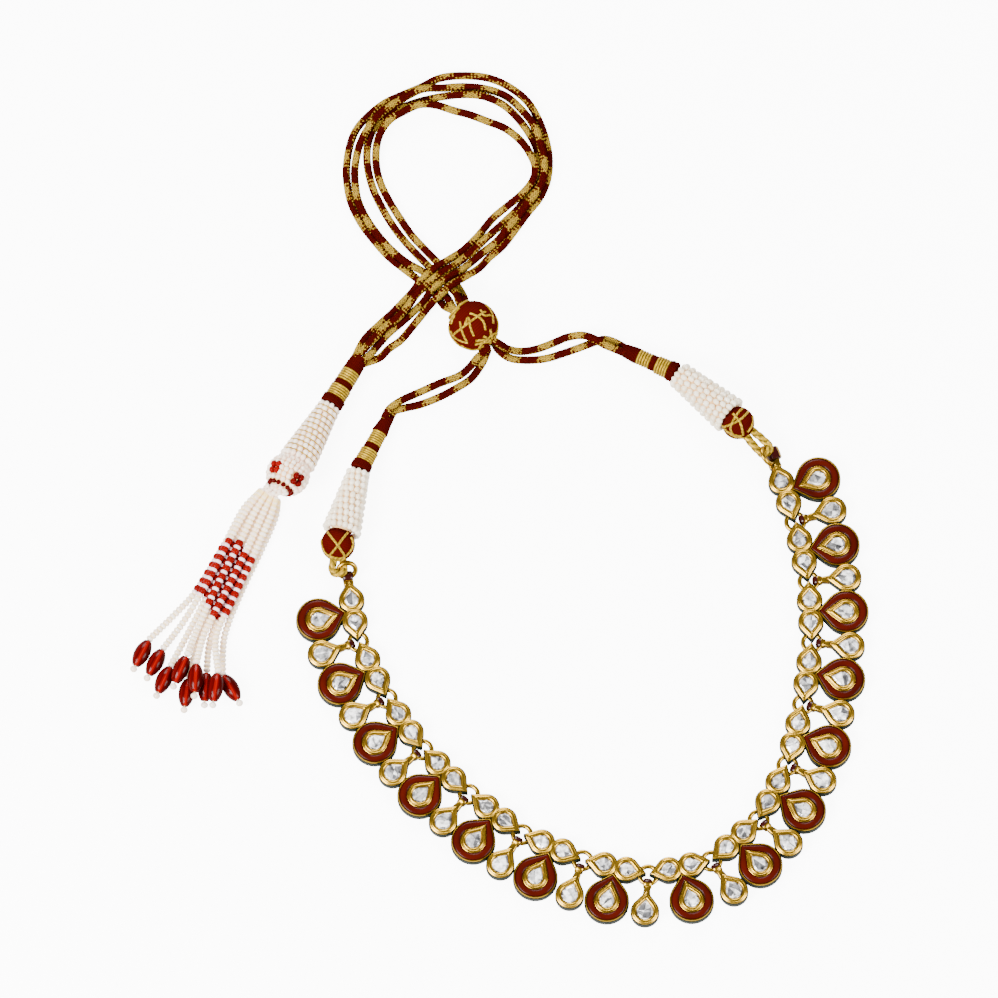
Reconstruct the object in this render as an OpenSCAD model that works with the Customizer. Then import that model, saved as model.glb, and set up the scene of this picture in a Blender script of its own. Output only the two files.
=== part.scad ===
// Kundan necklace laid flat: fifteen linked stone units, two beaded cuffs,
// four cord strands through a slider ball, and a beaded tassel.
// X runs across the chain, Y toward the back of the neck, Z up from the floor.

/* [Chain unit] */
// Length of a unit between the tips of its small settings
unit_len = 15.7; // [15.6:0.1:15.8]
// Radius of the round part of a small setting
setting_r = 3.15; // [3.1:0.05:3.2]
// Distance from that centre to the tip of the setting
setting_h = 4.95; // [4.9:0.05:5]
// Height of the small settings
setting_top = 3.3; // [3.1:0.1:3.5]
// Width of the gold wall round a small stone
setting_wall = 1.05; // [0.9:0.05:1.2]

/* [Large plate] */
// Radius of the large teardrop plate
plate_r = 5.6; // [5.5:0.05:5.6]
// Distance from the plate's centre to its tip
plate_h = 7.4; // [7.2:0.1:7.6]
// Distance from the chain line to the plate's centre
plate_out = 9.4; // [9.3:0.1:9.5]
// Height of the plate's gold rim
plate_top = 3.0; // [2.8:0.1:3.2]
// Width of the gold rim
plate_rim = 0.35; // [0.3:0.05:0.5]
// Depth of the channel that holds the enamel
enamel_depth = 0.9; // [0.7:0.1:1.1]
// Radius of the stone's own setting on the plate
bezel_r = 3.1; // [3:0.1:3.2]
// Distance from its centre to its tip
bezel_h = 5.3; // [5.1:0.1:5.4]
// Height of that setting
bezel_top = 3.4; // [3.3:0.1:3.6]

/* [Small drop] */
// Radius of the round part of a small drop
drop_r = 3.5; // [3.3:0.1:3.5]
// Distance from that centre to the drop's tip
drop_h = 5.3; // [5.1:0.1:5.4]
// Height of a small drop
drop_top = 3.2; // [3:0.1:3.4]

/* [Jump rings] */
// Radius of a jump ring to the middle of its wire
ring_r = 2.35; // [2.3:0.05:2.4]
// Diameter of the jump ring's wire
ring_wire = 0.7; // [0.6:0.05:0.75]
// Radius of the two end rings to the middle of the wire
end_ring_r = 2.25; // [2.2:0.05:2.3]
// Diameter of the end rings' wire
end_ring_wire = 0.8; // [0.7:0.05:0.85]

/* [Cuffs and balls] */
// Diameter of the two red thread balls
knob_d = 9.1; // [9:0.1:9.2]
// Width of a cuff at its wide end
cuff_wide = 10.5; // [10.2:0.1:10.6]
// Diameter of the slider ball
slider_d = 13; // [12.8:0.1:13.2]
// Diameter of the slider ball's hole
slider_bore = 6.2; // [6:0.1:6.4]
// Diameter of the tassel's bead ball
bead_ball_d = 11.7; // [11.5:0.1:11.8]

/* [Cord and tassel] */
// Diameter of one cord strand
cord_d = 1.9; // [1.7:0.05:1.9]
// Diameter of one bead strand of the tassel
strand_d = 1.8; // [1.6:0.1:1.8]
// Width of an oval bead
oval_d = 4.2; // [4:0.1:4.2]
// Diameter of the thread through the oval beads
thread_d = 0.4; // [0.3:0.05:0.4]

/* [Hidden] */
$fn = 48;

gold = [0.85, 0.65, 0.25];
enamel_red = [0.45, 0.1, 0.06];
stone_white = [0.86, 0.86, 0.86];
thread_red = [0.42, 0.06, 0.04];
thread_gold = [0.82, 0.7, 0.38];
bead_white = [0.92, 0.89, 0.85];
bead_pink = [0.9, 0.78, 0.76];
bead_red = [0.6, 0.02, 0.02];

// Clearance between a piece and the pocket or hole that holds it
gap = 0.1;

// Where the chain starts, at its left end
chain_start = [-39.4, 9.1];
// Each unit: [direction of its line, play at its two joints, lean of its plate]
units = [
  [-81, 0.7, 6], [-64, 1.3, -1], [-56, 0.9, 0], [-45, 1.3, -1], [-38, 1.8, 0],
  [-24, 1.5, -4], [-13, 1.8, -1], [13, 1.1, 6], [42, 0.8, 2], [63, 0.8, -5],
  [76, 1.2, -7], [82, 1.1, -3], [93, 0.8, -4], [102, 0.7, -2], [109, 0.7, 4]
];
// How far each small drop leans from the middle line between its units
drop_lean = [3, -1, 0, 0, -3, -1, -5, 8, -2, -5, -5, -4, -3, 1];

function dir(a) = [cos(a), sin(a)];
function joint(i) = i == 0 ? chain_start
  : joint(i - 1) + (unit_len + units[i - 1][1]) * dir(units[i - 1][0]);

// Rings lie at this height inside the settings
ring_z = 1.4;
ring_tunnel = 1.2;
pocket_floor = 2.4;

// Left and right end rings: [low point, turn, tilt]
left_end = [[-39.6, 10.25, 1.6], -83, 49];
right_end = [[70.6, 42.95, 1.45], 22, 58];
bail_r = 1.4;
bail_w = 1.2;
bail_hole = 1.3;

// Thread loops on the knob balls: [far end, turn, slope, length of the legs]
left_loop = [[-42.05, 11.85, 3.65], -86, -19, 2.4];
right_loop = [[68.7, 44.5, 3.35], -32, -16, 4.2];
loop_r = 1.5;
loop_d = 1.56;
left_ball = [-42.1, 18.3, 4.8];
right_ball = [61.9, 51.0, 4.8];

// Cuffs: [wide end, narrow end, end of the binding]
left_axis = [[-41.3, 21.2, 5.3], [-36.7, 38.4, 3.5], [-29.6, 52.3, 2.1]];
right_axis = [[60.1, 52.6, 5.3], [46.2, 64.6, 3.7], [32.8, 71.2, 2.1]];
tassel_axis = [[-52.2, 41.5, 5.2], [-44.2, 56.0, 3.5], [-36.9, 68.4, 2.5]];
slider_at = [-6.9, 76.8, 6.5];
slider_dir = [0.658, -0.753, 0];
bead_ball_at = [-55.1, 36.8, 5.85];
collar_dir = [-4.9, -4.0, -2.6];

// Tassel strands, from the bead ball to the oval beads
strand_routes = [
  [[-62.4, 33.6, 1.9], [-66, 28.3, 1.3], [-69.7, 19.2, 1], [-76.7, 7.1, 1.1], [-84, 0, 1]],
  [[-61.8, 33, 4], [-65, 28, 3], [-68.4, 20, 2.9], [-74.9, 7.3, 2.8], [-81.4, -1.6, 1]],
  [[-61.2, 32.9, 1.9], [-64, 27.6, 1], [-67.6, 19.2, 1.2], [-73.8, 6.3, 1.1], [-79.8, -3.8, 1]],
  [[-60.6, 32.2, 4], [-62.9, 27.5, 3], [-66.3, 18.6, 2.9], [-72.3, 6.5, 2.9], [-78, -4.3, 2.8]],
  [[-59.4, 31.5, 4], [-60.8, 27, 3], [-64, 17.8, 2.9], [-69.7, 5.9, 2.9], [-75.9, -4.9, 2.9]],
  [[-60, 32.2, 1.9], [-61.8, 27.5, 1.1], [-65.5, 19.2, 1], [-71.2, 6.5, 1], [-77.2, -5.4, 1]],
  [[-58.8, 31.5, 1.9], [-59.8, 27.2, 1], [-63, 18.1, 1.1], [-68.6, 6.5, 1], [-74.4, -5.5, 1.1]],
  [[-58.2, 30.8, 4], [-58.8, 26.8, 3], [-62.1, 17.3, 2.9], [-67.6, 5.1, 2.9], [-73.1, -5.9, 2.9]],
  [[-57.6, 30.8, 1.8], [-57.7, 26.7, 1], [-60.8, 17.8, 1], [-66.3, 5.7, 1], [-71, -5.4, 1]]
];
// Oval beads: [upper end, lower end]
ovals = [
  [[-91.3, -7.1, 2.1], [-94.7, -13.8, 2.4]],
  [[-87.7, -9.6, 2.4], [-91.2, -16.3, 2.5]],
  [[-85.7, -14.1, 1.9], [-88.8, -21, 2.4]],
  [[-81.4, -12.1, 5.4], [-84.4, -18.9, 4.1]],
  [[-78.8, -14.3, 5.6], [-79.3, -21.8, 5.6]],
  [[-80.9, -17.3, 2], [-81.9, -24.7, 2.4]],
  [[-76.2, -15.8, 2.4], [-76.7, -23.2, 1.9]],
  [[-73.3, -16.8, 5.6], [-74.4, -24.2, 5.4]],
  [[-71.7, -16.4, 2], [-68.1, -23, 2.4]]
];
oval_len = 7.4;
oval_end_r = 0.9;
end_bead_d = 2;

// Cord routes, laid on the floor; they pass the slider ball one above the other
// Strand from the outer side of the left binding
left_a_route = [
  [-29, 52, 1.4], [-27.6, 55, 1.2], [-25, 56, 1], [-20.8, 57, 1], [-15.8, 59, 1],
  [-11.4, 61.4, 1], [-7.6, 64, 1], [-5, 67.4, 1.5], [-3.6, 70, 3.2], [-3.6, 71.4, 5.3],
  [-7.8, 76.2, 5.3], [-11.8, 80.8, 5.3], [-14.6, 83.2, 2.9], [-16.4, 86.4, 1], [-19, 88.4, 1],
  [-21.6, 91, 1], [-25.4, 94, 1], [-29.2, 97.2, 1], [-32.8, 101.4, 1], [-36, 105.8, 1],
  [-38.4, 110.6, 1], [-39.6, 115.2, 1], [-40, 120.6, 1], [-39.2, 126.6, 1], [-37.4, 131.4, 1],
  [-34, 135.4, 1], [-30, 138.6, 1], [-25.4, 140.8, 1], [-20.8, 142.8, 1], [-15.4, 145.4, 1],
  [-9.2, 146, 1], [-3.2, 145.4, 1], [2, 143.2, 1], [6.8, 139.4, 1], [9.8, 134.6, 1],
  [11.8, 129.2, 1], [12.8, 123.6, 1], [12.4, 118, 1], [10.4, 113, 1], [7.2, 108.8, 1],
  [4.2, 104.6, 1], [0.8, 100, 1], [-2.8, 96.6, 1.5], [-5.4, 93.4, 2.8], [-8.8, 90.8, 4.3],
  [-12.6, 88, 5.9], [-15.8, 85.2, 5.9], [-18.4, 82.8, 4.2], [-20.4, 80.8, 2.2], [-23, 77.8, 1],
  [-25.8, 74.4, 1], [-29, 72, 1], [-31.4, 69.6, 1], [-36, 67.8, 1.4]
];
// Its neighbour
left_b_route = [
  [-30.2, 52.6, 2.9], [-28.6, 55.4, 3.1], [-25.4, 57.8, 2.6], [-20.8, 60.4, 1], [-15.6, 62.8, 1],
  [-10.6, 64.8, 1], [-7.8, 67, 1.9], [-6, 68.8, 3.8], [-4.2, 69.8, 6.8], [-3.6, 71.4, 7.7],
  [-7.8, 76.2, 7.7], [-11.8, 80.8, 7.7], [-13.2, 84, 5.2], [-15.2, 87.4, 2.8],
  [-17.6, 90.4, 1.2], [-20, 92.8, 1.3], [-24.2, 95, 2.2], [-28.4, 98.6, 2.2], [-32, 102.8, 2.3],
  [-34.8, 107, 2.3], [-36.8, 111.4, 2.1], [-37.6, 115.4, 2], [-37.8, 120.6, 1.8],
  [-36.8, 126.2, 1.9], [-34.8, 130.6, 2.6], [-32.2, 134.2, 2.9], [-28.8, 137, 3],
  [-25, 139.4, 3.1], [-20.2, 141.8, 3.1], [-15, 142.6, 1.2], [-9.4, 143, 1], [-3.6, 142.4, 1],
  [1.6, 140.4, 1.1], [5.8, 136.4, 1.7], [8.8, 132, 2.6], [10.6, 127, 3], [11.4, 122.2, 3],
  [11.2, 117.4, 3], [8.8, 113, 3], [6.2, 109.6, 2.9], [3, 105.8, 2.3], [-0.6, 101.2, 1.7],
  [-4.4, 98, 1.6], [-7.2, 95.4, 2], [-10.2, 92.6, 3.3], [-14, 90, 4.6], [-17.4, 87.4, 4.6],
  [-19.8, 84.6, 2.2], [-22.2, 82.4, 1], [-25.4, 79.4, 1], [-29, 76.2, 1], [-32, 72.6, 1.4],
  [-33.6, 70.2, 2.7], [-36, 67.8, 3.6]
];
// Upper strand from the right binding
right_a_route = [
  [32.4, 70.4, 2.8], [30, 71.4, 3], [27.2, 72.6, 3.1], [24.4, 74.2, 3.3], [21.4, 75.4, 2.2],
  [17.6, 75.2, 1], [13.8, 73.6, 1], [9.6, 72, 1], [5.4, 71.2, 1.6], [2.2, 71.2, 3.8],
  [-0.2, 71.8, 6.9], [-2, 73, 7.7], [-6, 77.6, 7.7], [-10.2, 82.2, 7.7], [-11.4, 85.8, 5.2],
  [-13.6, 88.8, 2.8], [-16, 91.8, 1.2], [-18.4, 94.2, 1], [-21.8, 97.8, 1], [-25, 101.4, 1],
  [-27.8, 105.2, 1], [-30.6, 110, 1], [-33, 115.2, 1], [-34.4, 120.8, 1], [-34.6, 126, 1],
  [-33.4, 130.6, 1], [-31.2, 134, 1], [-27.8, 136.4, 1], [-24, 138, 1], [-19.6, 139.4, 1],
  [-14, 140.4, 1.4], [-8.8, 140.6, 2.2], [-4, 140, 2.3], [0.8, 137.8, 2.2], [4.6, 134.4, 1.5],
  [7.8, 130, 1], [9.8, 125.4, 1], [10.2, 120.6, 1], [9.4, 116.6, 1], [7, 112.8, 1],
  [4.2, 109.4, 1], [0.8, 106, 1.2], [-3.2, 102, 2.2], [-6.4, 98.8, 2.4], [-8.8, 96.8, 2],
  [-11.8, 94.2, 2.7], [-15.4, 91.6, 4], [-18.8, 88.8, 4], [-21.8, 86, 3.4], [-23.8, 83.2, 2.8],
  [-26.6, 80, 3], [-30.2, 77, 3], [-33.6, 73.4, 3.1], [-35.4, 71.2, 3.4], [-37.8, 69, 3.6]
];
// Its neighbour
right_b_route = [
  [33, 72, 1.4], [29.6, 74, 1], [27, 74.6, 1], [24.4, 73.8, 1], [20.8, 72.4, 1], [16.4, 70.8, 1],
  [11.8, 69.4, 1], [6.8, 69, 1], [2.4, 69.6, 1.1], [-0.4, 71.2, 2.9], [-2, 73, 5.3],
  [-6, 77.6, 5.3], [-10.2, 82.2, 5.3], [-9.2, 85, 3], [-11.4, 89.6, 1], [-13.8, 93, 1],
  [-16.4, 95.6, 1], [-19.8, 99.2, 1], [-23, 102.8, 1], [-25.8, 107, 1], [-28.6, 111.6, 1],
  [-31, 116.6, 1], [-32.2, 121.4, 1], [-32.2, 126.4, 1.6], [-31, 130.4, 2.6],
  [-28.6, 133.6, 2.9], [-25.4, 135.6, 3], [-21, 137.6, 3.1], [-16.6, 137.8, 1.8],
  [-12.2, 136.6, 1], [-7.8, 135.4, 1], [-3.2, 133.6, 1], [1.2, 131.8, 1], [5, 128.6, 1.7],
  [7.6, 124.8, 2.7], [9.2, 120.6, 3], [8.4, 116.8, 3], [5.4, 113.2, 2.6], [1.6, 110.2, 1.8],
  [-2, 107.2, 1.1], [-5.2, 103.2, 1], [-8, 100.2, 1], [-10.2, 98.2, 1], [-13.2, 96, 2],
  [-17, 93.2, 3.3], [-19.8, 90.6, 3.3], [-21.4, 89, 2.9], [-22.6, 87.6, 1.3], [-25, 85, 1],
  [-28, 81.8, 1], [-31.4, 78.6, 1], [-34.8, 75.2, 1], [-36.8, 71.8, 1.1], [-37.8, 69, 1.4]
];

// Pointed outline: a circle at the origin with its tip at (0, h)
module teardrop(r, h, inset = 0) {
  half = asin(r / h) - 2;
  reach = h - inset / sin(half);
  foot = reach * cos(half);
  circle(r - inset);
  polygon([
    [0, reach], [foot * sin(half), reach - foot * cos(half)],
    [0, 0], [-foot * sin(half), reach - foot * cos(half)]
  ]);
}

// The same outline as ten points, for a cut stone
function stone_outline(r, h, inset) =
  let (half = asin(r / h) - 2, step = (180 + 2 * half) / 8)
  concat([[0, h - inset / sin(half)]],
    [for (k = [0:8]) (r - inset) * [cos(half - k * step), sin(half - k * step)]]);

function scaled(points, s, z) = [for (p = points) [p[0] * s, p[1] * s, z]];

// Solid skin over rings of points, closed with a flat face at each end
module skin(rings) {
  n = len(rings[0]);
  m = len(rings);
  polyhedron(
    points = [for (ring = rings) each ring],
    faces = concat(
      [[for (k = [0:n - 1]) n - 1 - k]],
      [for (j = [0:m - 2], k = [0:n - 1]) let (l = (k + 1) % n)
        each [[j * n + k, j * n + l, (j + 1) * n + l], [j * n + k, (j + 1) * n + l, (j + 1) * n + k]]],
      [[for (k = [0:n - 1]) (m - 1) * n + k]]
    )
  );
}

// Flat-cut stone: sloping base, girdle, ten crown facets and a table
module stone(r, h, inset, base, girdle, table) {
  o = [for (k = [9:-1:0]) stone_outline(r, h, inset)[k]];
  skin([scaled(o, 0.85, base), scaled(o, 1, girdle), scaled(o, 0.55, table)]);
}

module torus(r, wire) {
  rotate_extrude() translate([r, 0]) circle(wire / 2, $fn = 24);
}

// Turns the Z axis onto the line from a to b
module along(a, b) {
  d = b - a;
  translate(a) rotate([0, acos(d[2] / norm(d)), atan2(d[1], d[0])]) children();
}

function unit_vec(v) = v / norm(v);

// Rings of a round tube along points; sides start beside a level line
function tube_ring(p, t, r, sides) =
  let (u = unit_vec(cross(t, [0, 0, 1])), w = cross(u, t))
  [for (k = [0:sides - 1]) p + r * (cos(k * 360 / sides) * u + sin(k * 360 / sides) * w)];
function tangent(pts, i) = unit_vec(
  (i < len(pts) - 1 ? unit_vec(pts[i + 1] - pts[i]) : [0, 0, 0]) +
  (i > 0 ? unit_vec(pts[i] - pts[i - 1]) : [0, 0, 0]));

module tube(pts, d, sides = 8, taper = []) {
  skin([for (i = [0:len(pts) - 1])
    tube_ring(pts[i], tangent(pts, i), d / 2 * (i < len(taper) ? taper[i] : 1), sides)]);
}

module at_unit(i) {
  mid = (joint(i) + joint(i + 1)) / 2;
  translate([mid[0], mid[1], 0]) rotate(units[i][0]) children();
}

module small_setting(side) {
  translate([side * (unit_len / 2 - setting_h), 0, 0]) rotate(-90 * side) children();
}

module at_plate(i) {
  rotate(units[i][2]) translate([0, -plate_out, 0]) children();
}

// Band that an end ring passes through, with the neck that joins it to a unit
module end_bail(place, tip) {
  b = place[0];
  d = tip - [b[0], b[1]];
  translate(b) rotate([0, 0, place[1]]) rotate([90, 0, 0])
    cylinder(r = bail_r, h = bail_w, center = true);
  translate([b[0], b[1], 0]) rotate(atan2(d[1], d[0]))
    translate([0, -0.6, 0.4]) cube([norm(d) + 1.2, 1.2, 1]);
}
module end_bail_hole(place) {
  translate(place[0]) rotate([0, 0, place[1]]) rotate([90, 0, 0])
    cylinder(d = bail_hole, h = 6, center = true);
}

// One soldered unit; its tips are drilled for the jump rings
module unit(i) {
  reach = (unit_len + units[i][1]) / 2;
  d = dir(units[i][0]);
  play = units[i][1] / 2;
  color(gold) difference() {
    union() {
      at_unit(i) {
        for (side = [-1, 1]) small_setting(side)
          linear_extrude(setting_top) teardrop(setting_r, setting_h);
        translate([0, -1.6, 0]) cylinder(r = 1.5, h = 2.2);
        at_plate(i) {
          linear_extrude(plate_top - enamel_depth) teardrop(plate_r, plate_h);
          linear_extrude(bezel_top) teardrop(bezel_r, bezel_h);
          linear_extrude(plate_top) difference() {
            teardrop(plate_r, plate_h);
            teardrop(plate_r, plate_h, plate_rim);
          }
        }
      }
      if (i == 0) end_bail(left_end, joint(0) + play * d);
      if (i == 14) end_bail(right_end, joint(15) - play * d);
    }
    at_unit(i) {
      for (side = [-1, 1]) small_setting(side) translate([0, 0, pocket_floor])
        linear_extrude(5) teardrop(setting_r, setting_h, setting_wall);
      at_plate(i) translate([0, 0, pocket_floor])
        linear_extrude(5) teardrop(bezel_r, bezel_h, 0.75);
      if (i > 0) translate([-reach, 0, ring_z]) torus(ring_r, ring_tunnel);
      if (i < 14) translate([reach, 0, ring_z]) torus(ring_r, ring_tunnel);
    }
    if (i == 0) end_bail_hole(left_end);
    if (i == 14) end_bail_hole(right_end);
  }
}

module enamel() {
  color(enamel_red) for (i = [0:14]) at_unit(i) at_plate(i)
    translate([0, 0, plate_top - enamel_depth + gap])
      linear_extrude(enamel_depth + 0.05) difference() {
        teardrop(plate_r, plate_h, plate_rim + gap);
        teardrop(bezel_r, bezel_h, -gap);
      }
}

module stones_large() {
  color(stone_white) for (i = [0:14]) at_unit(i) at_plate(i)
    stone(bezel_r, bezel_h, 0.75 + gap, pocket_floor + gap, 3.2, 3.9);
}
module stones_small() {
  color(stone_white) for (i = [0:14], side = [-1, 1]) at_unit(i) small_setting(side)
    stone(setting_r, setting_h, setting_wall + gap, pocket_floor + gap, 3.1, 3.7);
}

module at_joint(i) {
  translate([joint(i)[0], joint(i)[1], 0]) children();
}
module jump_rings() {
  color(gold) for (i = [1:14]) at_joint(i) translate([0, 0, ring_z]) torus(ring_r, ring_wire);
}

// Small drops hang outward from the jump rings
drop_centre = ring_r + 2.45 + drop_h;
module at_drop(i) {
  at_joint(i) rotate((units[i - 1][0] + units[i][0]) / 2 + drop_lean[i - 1]) children();
}
module drop(i) {
  color(gold) at_drop(i) difference() {
    union() {
      translate([0, -ring_r, ring_z]) rotate([0, 90, 0]) cylinder(r = 1.35, h = 1.3, center = true);
      translate([-0.55, -ring_r - 3.4, 0.5]) cube([1.1, 2.6, 1.8]);
      translate([0, -drop_centre, 0]) linear_extrude(drop_top) teardrop(drop_r, drop_h);
    }
    translate([0, -ring_r, ring_z]) rotate([0, 90, 0]) cylinder(d = 1.3, h = 4, center = true);
    translate([0, -drop_centre, pocket_floor])
      linear_extrude(5) teardrop(drop_r, drop_h, setting_wall);
  }
}
module stones_drop() {
  color(stone_white) for (i = [1:14]) at_drop(i) translate([0, -drop_centre, 0])
    stone(drop_r, drop_h, setting_wall + gap, pocket_floor + gap, 3.1, 3.7);
}

module end_ring(place) {
  c = place[0] - end_ring_r * [
    cos(place[2]) * cos(place[1]), cos(place[2]) * sin(place[1]), -sin(place[2])];
  color(gold) translate(c) rotate([0, place[2], place[1]]) torus(end_ring_r, end_ring_wire);
}
module left_end_ring() { end_ring(left_end); }
module right_end_ring() { end_ring(right_end); }

// Thread ball with the long loop that the end ring passes through
module knob(ball, place) {
  color(thread_red) union() {
    translate(ball) sphere(d = knob_d);
    translate(place[0]) rotate([0, place[2], place[1]]) {
      rotate(-90) rotate_extrude(angle = 180) translate([loop_r, 0]) circle(d = loop_d, $fn = 24);
      for (side = [-1, 1]) translate([-place[3], side * loop_r, 0])
        rotate([0, 90, 0]) cylinder(d = loop_d, h = place[3], $fn = 24);
      translate([-place[3], 0, 0]) rotate(90)
        rotate_extrude(angle = 180) translate([loop_r, 0]) circle(d = loop_d, $fn = 24);
    }
  }
}
module left_knob() { knob(left_ball, left_loop); }
module right_knob() { knob(right_ball, right_loop); }

// Cuff of bead rings on a tapered core, hollowed where it meets the ball
module cuff(axis, wide, narrow, rings, ball, ball_d, tint) {
  length = norm(axis[1] - axis[0]);
  step = length / rings;
  bead = step * 0.6;
  color(tint) difference() {
    along(axis[0], axis[1]) rotate_extrude() {
      polygon([[0, 0], [wide / 2 - bead, 0], [narrow / 2 - bead, length], [0, length]]);
      for (k = [0:rings - 1])
        let (s = (k + 0.5) / rings)
          translate([wide / 2 * (1 - s) + narrow / 2 * s - bead, s * length]) circle(bead, $fn = 24);
    }
    translate(ball) sphere(d = ball_d + 0.3);
  }
}
module left_cuff() { cuff(left_axis, cuff_wide, 6.2, 10, left_ball, knob_d, bead_white); }
module right_cuff() { cuff(right_axis, cuff_wide, 7.2, 10, right_ball, knob_d, bead_white); }
module tassel_cuff() {
  cuff(tassel_axis, cuff_wide - 0.3, 6.2, 11, bead_ball_at, bead_ball_d, bead_pink);
}

// Binding: a thread core with two wound sleeves. Sizes are [start, end, radius]
// as parts of the binding's length, for the two sleeves
start_gap = 0.85;
end_gap = 0.6;
module binding(axis, r, sleeves) {
  length = norm(axis[2] - axis[1]) - end_gap;
  color(thread_red) along(axis[1], axis[2]) {
    translate([0, 0, start_gap]) cylinder(r = r, h = length * sleeves[0][0] - start_gap);
    cylinder_between(length, sleeves[0][0], sleeves[0][1], sleeves[0][2] - 0.45);
    cylinder_between(length, sleeves[0][1], sleeves[1][0], sleeves[1][2] + 0.05);
    cylinder_between(length, sleeves[1][0], sleeves[1][1], sleeves[1][2] - 0.45);
    cylinder_between(length, sleeves[1][1], 1, sleeves[1][2] - 0.05);
  }
}
module cylinder_between(length, from, to, r) {
  translate([0, 0, length * from - 0.01]) cylinder(r = r, h = length * (to - from) + 0.01);
}
module winding(axis, sleeves) {
  length = norm(axis[2] - axis[1]) - end_gap;
  color(thread_gold) along(axis[1], axis[2]) for (s = sleeves)
    translate([0, 0, length * s[0] + gap]) difference() {
      cylinder(r = s[2], h = length * (s[1] - s[0]) - 2 * gap);
      translate([0, 0, -1]) cylinder(r = s[2] - 0.45 + gap, h = length);
    }
}
thin_sleeves = [[0.17, 0.42, 2.3], [0.53, 0.79, 1.95]];
thick_sleeves = [[0.17, 0.42, 2.75], [0.53, 0.79, 2.5]];
module left_binding() { binding(left_axis, 2.6, thin_sleeves); }
module right_binding() { binding(right_axis, 2.6, thin_sleeves); }
module tassel_binding() { binding(tassel_axis, 3, thick_sleeves); }
module left_winding() { winding(left_axis, thin_sleeves); }
module right_winding() { winding(right_axis, thin_sleeves); }
module tassel_winding() { winding(tassel_axis, thick_sleeves); }

module slider_ball() {
  color(thread_red) difference() {
    translate(slider_at) sphere(d = slider_d);
    along(slider_at - 10 * slider_dir, slider_at) cylinder(d = slider_bore, h = 20);
  }
}
module bead_ball() {
  color(bead_pink) translate(bead_ball_at) sphere(d = bead_ball_d);
}
module tassel_collar() {
  color(bead_white) along(bead_ball_at, bead_ball_at + collar_dir)
    translate([0, 0, bead_ball_d / 2 + gap]) cylinder(r = 1.9, h = 0.5);
}

module tassel_strands() {
  color(bead_pink) for (k = [0:len(ovals) - 1])
    tube(dense(concat(strand_routes[k], [strand_end(ovals[k])]), 3), strand_d, 8, gather);
}
// Strands are packed tighter where they leave the ball
gather = [0.56, 0.72, 0.87];
// Each strand ends a little above its oval bead
function strand_end(o) = (o[0] + o[1]) / 2 - (oval_len / 2 + 0.8) * unit_vec(o[1] - o[0]);
// Extra points on a smooth curve through a route
function dense(p, n) = concat([for (i = [0:len(p) - 2], k = [0:n - 1])
  let (t = k / n, a = p[max(i - 1, 0)], b = p[i], c = p[i + 1], d = p[min(i + 2, len(p) - 1)])
  b + t / 2 * (c - a) + t * t / 2 * (2 * a - 5 * b + 4 * c - d) + t * t * t / 2 * (3 * b - a - 3 * c + d)],
  [p[len(p) - 1]]);

module at_oval(o) {
  mid = (o[0] + o[1]) / 2;
  along(mid, o[1]) children();
}
module tassel_ovals() {
  bulge = (pow(oval_len / 2, 2) - pow(oval_d / 2 - oval_end_r, 2)) / (oval_d - 2 * oval_end_r);
  arc = bulge + oval_d / 2 - oval_end_r;
  color(bead_red) for (o = ovals) at_oval(o) difference() {
    rotate_extrude() intersection() {
      translate([oval_d / 2 - arc, 0]) circle(arc, $fn = 120);
      translate([0, -oval_len / 2]) square([oval_d, oval_len]);
    }
    cylinder(r = thread_d / 2 + 0.15, h = 20, center = true);
  }
}
end_bead_at = oval_len / 2 + 0.15 + end_bead_d / 2;
module tassel_end_beads() {
  color(bead_red) for (o = ovals) at_oval(o) translate([0, 0, end_bead_at]) difference() {
    sphere(d = end_bead_d);
    cylinder(r = thread_d / 2 + 0.15, h = 5, center = true);
  }
}
module tassel_threads() {
  color(thread_gold) for (o = ovals) at_oval(o)
    translate([0, 0, -oval_len / 2 - 0.6]) cylinder(d = thread_d, h = oval_len + 2.6);
}

module strand(route) {
  color(thread_red) tube(route, cord_d);
}
module cord_left_a() { strand(left_a_route); }
module cord_left_b() { strand(left_b_route); }
module cord_right_a() { strand(right_a_route); }
module cord_right_b() { strand(right_b_route); }

unit(0);  // unit_01
unit(1);  // unit_02
unit(2);  // unit_03
unit(3);  // unit_04
unit(4);  // unit_05
unit(5);  // unit_06
unit(6);  // unit_07
unit(7);  // unit_08
unit(8);  // unit_09
unit(9);  // unit_10
unit(10);  // unit_11
unit(11);  // unit_12
unit(12);  // unit_13
unit(13);  // unit_14
unit(14);  // unit_15
drop(1);  // drop_01
drop(2);  // drop_02
drop(3);  // drop_03
drop(4);  // drop_04
drop(5);  // drop_05
drop(6);  // drop_06
drop(7);  // drop_07
drop(8);  // drop_08
drop(9);  // drop_09
drop(10);  // drop_10
drop(11);  // drop_11
drop(12);  // drop_12
drop(13);  // drop_13
drop(14);  // drop_14
enamel();
stones_large();
stones_small();
stones_drop();
jump_rings();
left_end_ring();
right_end_ring();
left_knob();
right_knob();
left_cuff();
right_cuff();
tassel_cuff();
left_binding();
right_binding();
tassel_binding();
left_winding();
right_winding();
tassel_winding();
slider_ball();
bead_ball();
tassel_collar();
tassel_strands();
tassel_ovals();
tassel_end_beads();
tassel_threads();
cord_left_a();
cord_left_b();
cord_right_a();
cord_right_b();
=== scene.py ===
# %% [markdown]
# # A kundan necklace, laid flat
#
# The construction model gives every solid its size and place. This lesson dresses
# it: soldered gold settings with domed enamel and flat-cut stones, seed bead cuffs,
# a braided cord in dark red and gold, thread balls and a beaded tassel. The frame
# is loaded first, because each piece below stands where a solid of it lies.

# %% Load the frame
import math
import random
import bmesh
import bpy
from mathutils import Matrix, Vector


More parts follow.
